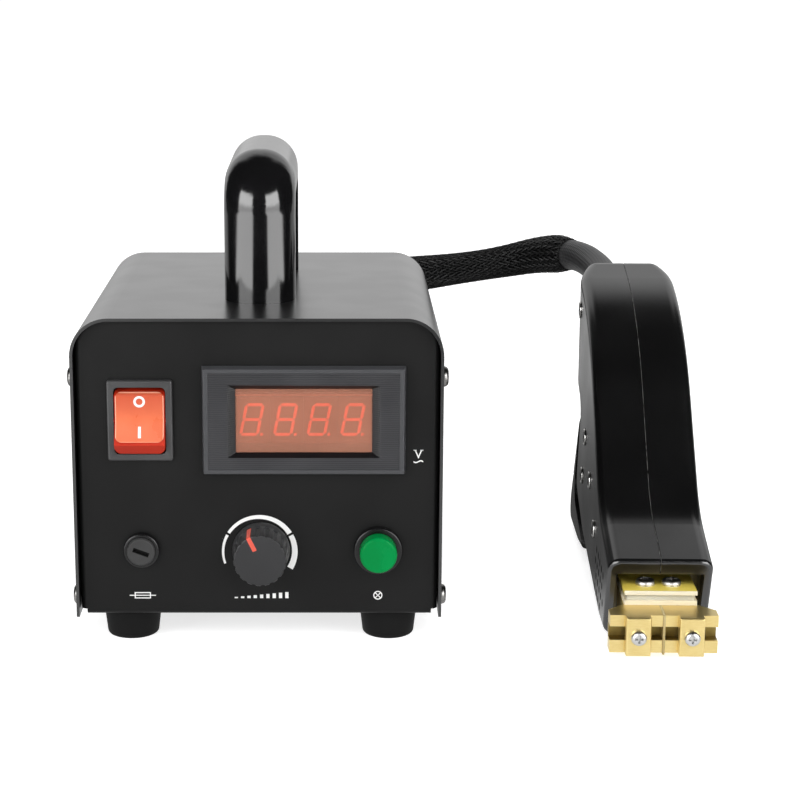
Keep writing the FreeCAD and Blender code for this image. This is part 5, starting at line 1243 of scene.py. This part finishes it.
    def lay_coords(self, piece: Piece, layer: str, coords: Sequence[tuple[float, float]]) -> None:
        """Give a piece its UV map, in the order of its faces' corners."""
        for loop, uv in zip(piece.data.uv_layers.new(name=layer).data, coords):
            loop.uv = uv

    def braid(self, frames: Sequence[LineFrame], join: float) -> Piece:
        """Weave low-crowned strands over and under each other, two by two, round the core.

        Args:
            frames: The frames along the line.
            join: Where the braid goes under the sleeve.

        Returns:
            The braid, with a UV map along and across each strand.
        """
        n, pitch = self.carriers, self.pitch * MM
        step = pitch / (2 * n)
        count = int(join / step)
        rings = []
        i = 0
        for k in range(count + 1):
            i, centre, across, up = self.at(frames, k * step, i)
            left = min(max((join - k * step) / (self.tuck_length * MM), 0.0), 1.0)
            tuck = self.tuck_share + (1.0 - self.tuck_share) * math.sin(left * math.pi / 2)
            rings.append((centre, across, up, self.thickness(k * step, join) * tuck))
        points, faces, coords = [], [], []
        radius = (self.diameter / 2 - self.rise - self.crown) * MM
        half = self.ribbon * MM / 2 / radius
        section = ((-half, 0.0), (0.0, self.crown * MM), (half, 0.0))
        sides = ((0, 1, 0.0, 0.5), (1, 2, 0.5, 1.0), (2, 0, 0.5, 0.5))
        for way in (1, -1):
            for strand in range(n):
                base = len(points)
                for k, (centre, across, up, share) in enumerate(rings):
                    run = k * step
                    turn = 2 * math.pi * (strand / n + way * run / pitch)
                    crossing = way * 2 * n * run / pitch + 2 * strand
                    lift = way * math.sin(math.pi / 2 * crossing + math.pi / 4) * self.rise * MM
                    for edge, proud in section:
                        out = across * math.cos(turn + edge) + up * math.sin(turn + edge)
                        points.append(centre + out * (radius * share + lift + proud))
                    if k:
                        a = base + 3 * (k - 1)
                        v0, v1 = (run - step) / (self.ribbon * MM), run / (self.ribbon * MM)
                        for p, q, u0, u1 in sides:
                            faces.append((a + p, a + q, a + q + 3, a + p + 3))
                            coords += [(u0, v0), (u1, v0), (u1, v1), (u0, v1)]
                last = len(points) - 3
                faces += [(base + 2, base + 1, base), (last, last + 1, last + 2)]
                coords += [(0.5, 0.0)] * 6
        piece = mesh_piece("lead_weave", points, faces)
        self.lay_coords(piece, "ribbon", coords)
        for face in piece.data.polygons:
            face.use_smooth = True
        return piece


@dataclass(frozen=True)
class BraidFinish:
    """Black filaments: ridges along each strand, with lighter worn crowns."""

    dark: Colour = (0.0025, 0.0025, 0.0025)
    worn: Colour = (0.012, 0.012, 0.012)
    rough: Span = (0.34, 0.16)
    ridges: int = 3
    fine: float = 1400.0
    patch: float = 160.0
    specular: float = 0.35
    depth: float = 0.0002
    bump: float = 0.6

    def material(self) -> bpy.types.Material:
        """Build the braid's material.

        Returns:
            The material.
        """
        material, graph, shader = new_material("finish_lead_filaments")
        across, _, _ = graph.split(graph.add("ShaderNodeUVMap", uv_map="ribbon").outputs["UV"])
        wave = graph.math("SINE", graph.math("MULTIPLY", across, self.ridges * math.pi))
        ridge = graph.math("ABSOLUTE", wave)
        spot = graph.add("ShaderNodeTexCoord").outputs["Object"]
        speckle = patterned(graph, Pattern.SPECKLE, spot, self.fine, self.patch)
        wear = graph.math("MULTIPLY", ridge, speckle.outputs["Mask"], clamp=True)
        graph.feed(graph.blend(wear, self.dark, self.worn), shader.inputs["Base Color"])
        graph.feed(graph.span(wear, 0.0, 1.0, *self.rough), shader.inputs["Roughness"])
        shader.inputs["Specular IOR Level"].default_value = self.specular
        graph.relief(shader, ridge, self.bump, self.depth)
        return material


# Panel

@dataclass
class PanelPrint:
    """White ink on the front panel: the dial's range arcs, small signs and the unit beside the voltmeter."""

    ink_depth: float = 0.05
    dial_outer: float = 14.9
    dial_thin: float = 0.8
    dial_thick: float = 2.4
    dial_ranges: tuple[tuple[float, float], ...] = ((-110.0, -62.0), (-58.0, 58.0), (62.0, 120.0))
    dial_shift: tuple[float, float] = (-0.57, -0.85)
    dial_step: float = 2.0
    row_drop: float = 19.0
    ring_sides: int = 40
    fuse_bars: tuple[tuple[float, float, float, float], ...] = (
        (0.0, 1.1, 6.4, 0.4), (0.0, -1.1, 6.4, 0.4), (-3.0, 0.0, 0.4, 1.8), (3.0, 0.0, 0.4, 1.8),
        (0.0, 0.0, 5.6, 0.35), (-4.2, 0.0, 2.0, 0.35), (4.2, 0.0, 2.0, 0.35))
    level_count: int = 9
    level_pitch: float = 2.5
    level_width: float = 1.3
    level_first: float = 0.5
    level_rise: float = 0.25
    level_foot: float = -1.2
    lamp_ring: tuple[float, float] = (1.8, 0.4)
    lamp_bar: tuple[float, float] = (2.8, 0.35)
    unit_place: tuple[float, float] = (62.5, 76.5)
    unit_size: float = 5.0
    serif_place: tuple[float, float] = (1.3, 3.3)
    serif_size: tuple[float, float] = (1.15, 0.3)
    wave_width: float = 3.8
    wave_swing: float = 0.35
    wave_line: float = 0.5
    wave_drop: float = 1.3
    wave_steps: int = 24

    def build(self) -> None:
        """Print every sign on the panel."""
        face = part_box("chassis")[0].y
        knob = self.middle("control_knob")
        dial_x = knob.x + self.dial_shift[0] * MM
        dial_z = knob.z + self.dial_shift[1] * MM
        signs = {"dial_range_%d" % i: (self.arc(*ends), dial_x, dial_z)
                 for i, ends in enumerate(self.dial_ranges)}
        low = knob.z - self.row_drop * MM
        signs["fuse_sign"] = (self.fuse_sign(), self.middle("fuse_holder").x, low)
        signs["level_sign"] = (self.level_sign(), knob.x, low)
        signs["lamp_sign"] = (self.lamp_sign(), self.middle("lamp_bezel").x, low)
        unit = BENCH.at(self.unit_place[0], 0.0, self.unit_place[1])
        signs["unit_sign"] = (self.unit_sign(), unit.x, unit.z)
        for name, (piece, x, z) in signs.items():
            thickened(piece, self.ink_depth * MM)
            place(piece, Matrix.Translation((x, face, z)) @ UPRIGHT)
            tidy_mesh(piece)
            piece.name = name
            dressed(piece, "base", INK.material())

    def middle(self, node: str) -> Vector:
        """Middle of a node's box."""
        low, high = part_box(node)
        return (low + high) / 2

    def arc(self, first: float, last: float) -> Piece:
        """Draw part of the dial's ring, which widens clockwise.

        Args:
            first: First angle, clockwise from the top, in degrees.
            last: Last angle.

        Returns:
            The flat arc.
        """
        deselect()
        steps = int((last - first) / self.dial_step)
        bpy.ops.mesh.primitive_grid_add(x_subdivisions=steps, y_subdivisions=1, size=2.0)
        piece = named("arc")
        start, end = self.dial_ranges[0][0], self.dial_ranges[-1][1]
        for vertex in piece.data.vertices:
            angle = first + (last - first) * (vertex.co.x + 1) / 2
            share = (angle - start) / (end - start)
            width = self.dial_thin + (self.dial_thick - self.dial_thin) * share
            radius = (self.dial_outer - (width if vertex.co.y < 0 else 0.0)) * MM
            turn = math.radians(angle)
            vertex.co = (radius * math.sin(turn), radius * math.cos(turn), 0.0)
        return piece

    def bar(self, x: float, y: float, width: float, height: float, turn: float = 0.0) -> Piece:
        """Draw a bar.

        Args:
            x: Middle across, in millimetres.
            y: Middle up.
            width: Size across.
            height: Size up.
            turn: Turn in degrees.

        Returns:
            The flat bar.
        """
        deselect()
        bpy.ops.mesh.primitive_plane_add(size=1.0)
        piece = named("bar")
        shape = Matrix.Diagonal((width * MM, height * MM, 1.0, 1.0))
        turned = Matrix.Rotation(math.radians(turn), 4, "Z")
        return place(piece, Matrix.Translation((x * MM, y * MM, 0.0)) @ turned @ shape)

    def ring(self, radius: float, line: float) -> Piece:
        """Draw a ring.

        Args:
            radius: Outer radius in millimetres.
            line: Width of the line.

        Returns:
            The flat ring.
        """
        deselect()
        bpy.ops.mesh.primitive_circle_add(vertices=self.ring_sides, radius=radius * MM, fill_type="NGON")
        piece = named("ring")
        open_mesh()
        bpy.ops.mesh.inset(thickness=line * MM)
        bpy.ops.mesh.delete(type="FACE")
        bpy.ops.object.mode_set(mode="OBJECT")
        return piece

    def fuse_sign(self) -> Piece:
        """Draw a fuse: a line through an open box."""
        return joined([self.bar(*bar) for bar in self.fuse_bars], "fuse_sign")

    def level_sign(self) -> Piece:
        """Draw a rising row of bars for the level.

        Returns:
            The flat sign.
        """
        bars = []
        for i in range(self.level_count):
            x = (i - (self.level_count - 1) / 2) * self.level_pitch
            height = self.level_first + self.level_rise * i
            bars.append(self.bar(x, self.level_foot + height / 2, self.level_width, height))
        return joined(bars, "level_sign")

    def lamp_sign(self) -> Piece:
        """Draw a lamp: a ring with a cross."""
        crossed = (self.bar(0.0, 0.0, *self.lamp_bar, turn) for turn in (45.0, -45.0))
        return joined([self.ring(*self.lamp_ring), *crossed], "lamp_sign")

    def unit_sign(self) -> Piece:
        """Write the unit for alternating volts.

        Returns:
            The flat letter with its serifs, over a wave.
        """
        deselect()
        bpy.ops.object.text_add()
        text = bpy.context.object
        text.data.body = "V"
        text.data.size = self.unit_size * MM
        text.data.align_x = "CENTER"
        bpy.ops.object.convert(target="MESH")
        letter = named("unit_letter")
        aside, up = self.serif_place
        serifs = [self.bar(side * aside, up, *self.serif_size) for side in (-1, 1)]
        return joined([letter, *serifs, self.wave()], "unit_sign")

    def wave(self) -> Piece:
        """Draw one wave under the unit.

        Returns:
            The flat wave.
        """
        deselect()
        bpy.ops.mesh.primitive_grid_add(x_subdivisions=self.wave_steps, y_subdivisions=1, size=2.0)
        piece = named("wave")
        for vertex in piece.data.vertices:
            swing = self.wave_swing * math.sin(vertex.co.x * math.pi) - self.wave_drop
            up = swing + vertex.co.y * self.wave_line / 2
            vertex.co = (vertex.co.x * self.wave_width / 2 * MM, up * MM, 0.0)
        return piece


@dataclass
class RockerFace:
    """Lighter face plate of the rocker, bent along its shallow valley, with the off ring and the on bar."""

    tilt: float = 11.0
    valley: float = 1.2
    soft: float = 0.35
    width: float = 18.8
    height: float = 19.6
    corner: float = 2.4
    corner_steps: int = 6
    thick: float = 0.5
    rim: float = 0.42
    rim_steps: int = 4
    rim_angle: float = 50.0
    smooth_angle: float = 40.0
    raised: float = 1.3
    crest: float = 9.7
    bends: int = 31
    ring_radius: float = 2.25
    ring_line: float = 0.95
    ring_height: float = 7.3
    bar_size: tuple[float, float] = (1.1, 4.5)
    bar_height: float = -4.6
    ink_depth: float = 0.07

    def build(self) -> None:
        """Model the plate and its marks about the rocker's own axis, then tilt them into place."""
        tilted = Matrix.Rotation(-math.radians(self.tilt), 4, "X")
        rest = Matrix.Translation(ROCKER_PLACE) @ tilted @ UPRIGHT
        printer = PanelPrint()
        marks = (("rocker_off_mark", printer.ring(self.ring_radius, self.ring_line), self.ring_height),
                 ("rocker_on_mark", printer.bar(0.0, 0.0, *self.bar_size), self.bar_height))
        plate = self.plate()
        place(plate, rest)
        tidy_mesh(plate, self.smooth_angle)
        dressed(plate, "rocker", ROCKER_FACE.material())
        for name, piece, up in marks:
            thickened(piece, self.ink_depth * MM)
            lean = Matrix.Rotation(math.copysign(math.radians(self.tilt), up), 4, "X")
            spot = Vector((0.0, up, self.front(up) + self.thick)) * MM
            place(piece, rest @ Matrix.Translation(spot) @ lean)
            tidy_mesh(piece)
            piece.name = name
            dressed(piece, "rocker", INK.material())

    def front(self, up: float) -> float:
        """Work out how far the rocker's body stands before its axis, with valley and crest softened.

        Args:
            up: Height above the axis, in millimetres.

        Returns:
            The distance in millimetres.
        """
        slope = math.tan(math.radians(self.tilt))
        over = abs(up) - self.crest
        beyond = (over + math.hypot(over, self.soft)) / 2
        return self.valley + math.hypot(up * slope, self.soft) - (1.0 + slope) * beyond

    def plate(self) -> Piece:
        """Shape the plate flat from a plane, round it off, and bend it over the body.

        Returns:
            The plate, facing up.
        """
        deselect()
        bpy.ops.mesh.primitive_plane_add(size=1.0)
        piece = named("rocker_face_plate")
        place(piece, Matrix.Diagonal((self.width * MM, self.height * MM, 1.0, 1.0)))
        activate(piece)
        open_mesh()
        bpy.ops.mesh.bevel(offset=self.corner * MM, segments=self.corner_steps, affect="VERTICES")
        for i in range(1, self.bends + 1):
            bpy.ops.mesh.select_all(action="SELECT")
            up = (i / (self.bends + 1) - 0.5) * self.height * MM
            bpy.ops.mesh.bisect(plane_co=(0.0, up, 0.0), plane_no=(0.0, 1.0, 0.0))
        bpy.ops.object.mode_set(mode="OBJECT")
        thickened(piece, self.thick * MM)
        tidy_mesh(piece)
        bevel = piece.modifiers.new("rim", "BEVEL")
        bevel.width = self.rim * MM
        bevel.segments = self.rim_steps
        bevel.limit_method = "ANGLE"
        bevel.angle_limit = math.radians(self.rim_angle)
        bpy.ops.object.modifier_apply(modifier="rim")
        for vertex in piece.data.vertices:
            vertex.co.y += self.raised * MM
            vertex.co.z += self.front(vertex.co.y / MM) * MM
        return piece


@dataclass
class DigitRow:
    """Four seven-segment digits on their blocks, behind the tinted window; the unlit segments are given a painted
    glow.
    """

    count: int = 4
    pitch: float = 13.05
    set_back: float = 0.35
    digit_width: float = 7.6
    digit_height: float = 13.0
    line: float = 1.15
    gap: float = 0.3
    slant: float = 11.5
    shift: float = -0.6
    relief: float = 0.12
    point_radius: float = 0.6
    point_sides: int = 16
    point_aside: float = 1.7
    block_gap: float = 0.2
    block_edge: float = 0.15

    def build(self) -> None:
        """Model a block and a digit once, and copy them along the row."""
        low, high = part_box("meter_display")
        middle = (low + high) / 2
        face = low.y + self.set_back * MM
        blocks = copies(self.block(high.y - face, high.z - low.z), self.count)
        digits = copies(self.digit(), self.count)
        for i, (block, digit) in enumerate(zip(blocks, digits)):
            x = middle.x + (i - (self.count - 1) / 2) * self.pitch * MM
            place(block, Matrix.Translation((x, (face + high.y) / 2, middle.z)))
            place(digit, Matrix.Translation((x + self.shift * MM, face, middle.z)) @ UPRIGHT)
            tidy_mesh(digit)
            digit.name = "digit_%d" % (i + 1)
            dressed(digit, "base", SEGMENT.material())
        row = joined(blocks, "digit_blocks")
        tidy_mesh(row)
        dressed(row, "base", FINISHES["display_block"].material())
        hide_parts("meter_display")

    def block(self, deep: float, high: float) -> Piece:
        """Model one digit's block with softened edges.

        Args:
            deep: Size back from the window.
            high: Height.

        Returns:
            The block.
        """
        deselect()
        bpy.ops.mesh.primitive_cube_add(size=1.0)
        piece = named("block")
        place(piece, Matrix.Diagonal(((self.pitch - self.block_gap) * MM, deep, high, 1.0)))
        activate(piece)
        open_mesh()
        bpy.ops.mesh.bevel(offset=self.block_edge * MM, segments=2, affect="EDGES")
        bpy.ops.object.mode_set(mode="OBJECT")
        return piece

    def segment(self, x: float, y: float, length: float, turn: float) -> Piece:
        """Model one segment as a bar with pointed ends.

        Args:
            x: Middle across, in millimetres.
            y: Middle up.
            length: Length between its points.
            turn: 0 for a level bar and 90 for an upright one.

        Returns:
            The flat segment.
        """
        deselect()
        bpy.ops.mesh.primitive_circle_add(vertices=6, radius=1.0, fill_type="NGON")
        piece = named("segment")
        half = self.line / 2
        for vertex in piece.data.vertices:
            tip = abs(vertex.co.x) < 0.1
            side = math.copysign(1.0, vertex.co.x)
            up = math.copysign(length / 2 - (0.0 if tip else half), vertex.co.y)
            vertex.co = (up * MM, 0.0 if tip else side * half * MM, 0.0)
        turned = Matrix.Rotation(math.radians(turn), 4, "Z")
        return place(piece, Matrix.Translation((x * MM, y * MM, 0.0)) @ turned)

    def digit(self) -> Piece:
        """Model a whole digit: seven segments and a point, leaning to the right.

        Returns:
            The digit, with its thickness.
        """
        w = self.digit_width - self.line
        h = self.digit_height - self.line
        level = [self.segment(0.0, side * h / 2, w - self.gap, 0.0) for side in (-1, 0, 1)]
        upright = [self.segment(side * w / 2, up * h / 4, h / 2 - self.gap, 90.0)
                   for side in (-1, 1) for up in (-1, 1)]
        deselect()
        spot = ((w / 2 + self.point_aside) * MM, -h / 2 * MM, 0.0)
        bpy.ops.mesh.primitive_circle_add(vertices=self.point_sides, radius=self.point_radius * MM,
                                          fill_type="NGON", location=spot)
        point = place(named("point"), Matrix.Identity(4))
        digit = joined([*level, *upright, point], "digit")
        lean = Matrix.Identity(4)
        lean[0][1] = math.tan(math.radians(self.slant))
        digit.data.transform(lean)
        thickened(digit, self.relief * MM)
        return digit


# Handset trim

@dataclass
class ScrewRims:
    """Bright steel rings round the heads of the five screws in the handset's left wall: partly the screws' own
    metal rims, partly a painted highlight on them.
    """

    spots: tuple[tuple[float, float], ...] = (
        (153.5, 109.4), (118.4, 59.1), (126.6, 39.5), (94.2, 46.2), (71.6, 31.3))
    seat: float = -21.0
    radius: float = 3.3
    line: float = 0.42
    steps: tuple[int, int] = (40, 10)

    def build(self) -> None:
        """Model a rim once, and set its copies square to the wall."""
        aside = Matrix.Rotation(-math.radians(HANDSET.yaw), 4, "Z") @ Matrix.Rotation(math.pi / 2, 4, "Y")
        round_steps, line_steps = self.steps
        deselect()
        bpy.ops.mesh.primitive_torus_add(major_radius=self.radius * MM, minor_radius=self.line * MM,
                                         major_segments=round_steps, minor_segments=line_steps)
        rims = copies(named("rim"), len(self.spots))
        for piece, (y, z) in zip(rims, self.spots):
            place(piece, Matrix.Translation(HANDSET.at(self.seat, y, z)) @ aside)
        rim = joined(rims, "shell_screw_rims_and_highlights")
        tidy_mesh(rim)
        dressed(rim, "base", RIM_STEEL.material())


# Node finishes

@dataclass
class NodeFinishes:
    """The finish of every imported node, and soft edges where the real piece has them."""

    edges: tuple[tuple[str, float], ...] = (
        ("chassis", 0.25), ("meter_case", 0.25), ("switch_body", 0.3), ("clamp_plate_left", 0.25),
        ("clamp_plate_right", 0.25), ("electrode_left", 0.3), ("electrode_right", 0.3), ("top_layer", 0.15),
        ("base_layer", 0.12), ("middle_layer", 0.12), ("control_knob", 0.2), ("knob_pointer", 0.12),
        ("fuse_cap", 0.15), ("carry_handle", 0.5), ("rubber_feet", 0.4), ("trigger", 0.25),
        ("switch_rocker", 0.5))
    merge: float = 1e-6
    segments: int = 2
    sharp: float = 35.0
    evenness: int = 100

    def build(self) -> None:
        """Dress every node, and round the edges of those that are listed."""
        slots = {part["node"]: part["material_slot"] for part in frame["record"]["subparts"]}
        for name, node in frame["nodes"].items():
            material = OWN_FINISHES.get(name, FINISHES[slots[name]]).material()
            node.data.materials.clear()
            node.data.materials.append(material)
        for name, width in self.edges:
            self.soften(frame["nodes"][name], width * MM)
        LOG.info("finished %d nodes", len(frame["nodes"]))

    def soften(self, node: Piece, width: float) -> None:
        """Round a node's sharp edges with modifiers, which leave its mesh as it is.

        Args:
            node: The node.
            width: Width of the rounding in metres.
        """
        weld = node.modifiers.new("merge", "WELD")
        weld.merge_threshold = self.merge
        bevel = node.modifiers.new("edges", "BEVEL")
        bevel.width = width
        bevel.segments = self.segments
        bevel.limit_method = "ANGLE"
        bevel.angle_limit = math.radians(self.sharp)
        even = node.modifiers.new("even", "WEIGHTED_NORMAL")
        even.weight = self.evenness


def main() -> None:
    """Build the studio, the lead, the panel's pieces and the finishes, in that order."""
    logging.basicConfig(level=logging.INFO, format="%(message)s")
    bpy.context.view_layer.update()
    for assembly in (Studio(), HandsetLead(), PanelPrint(), RockerFace(), DigitRow(), ScrewRims(),
                     NodeFinishes()):
        assembly.build()


if __name__ == "__main__":
    main()
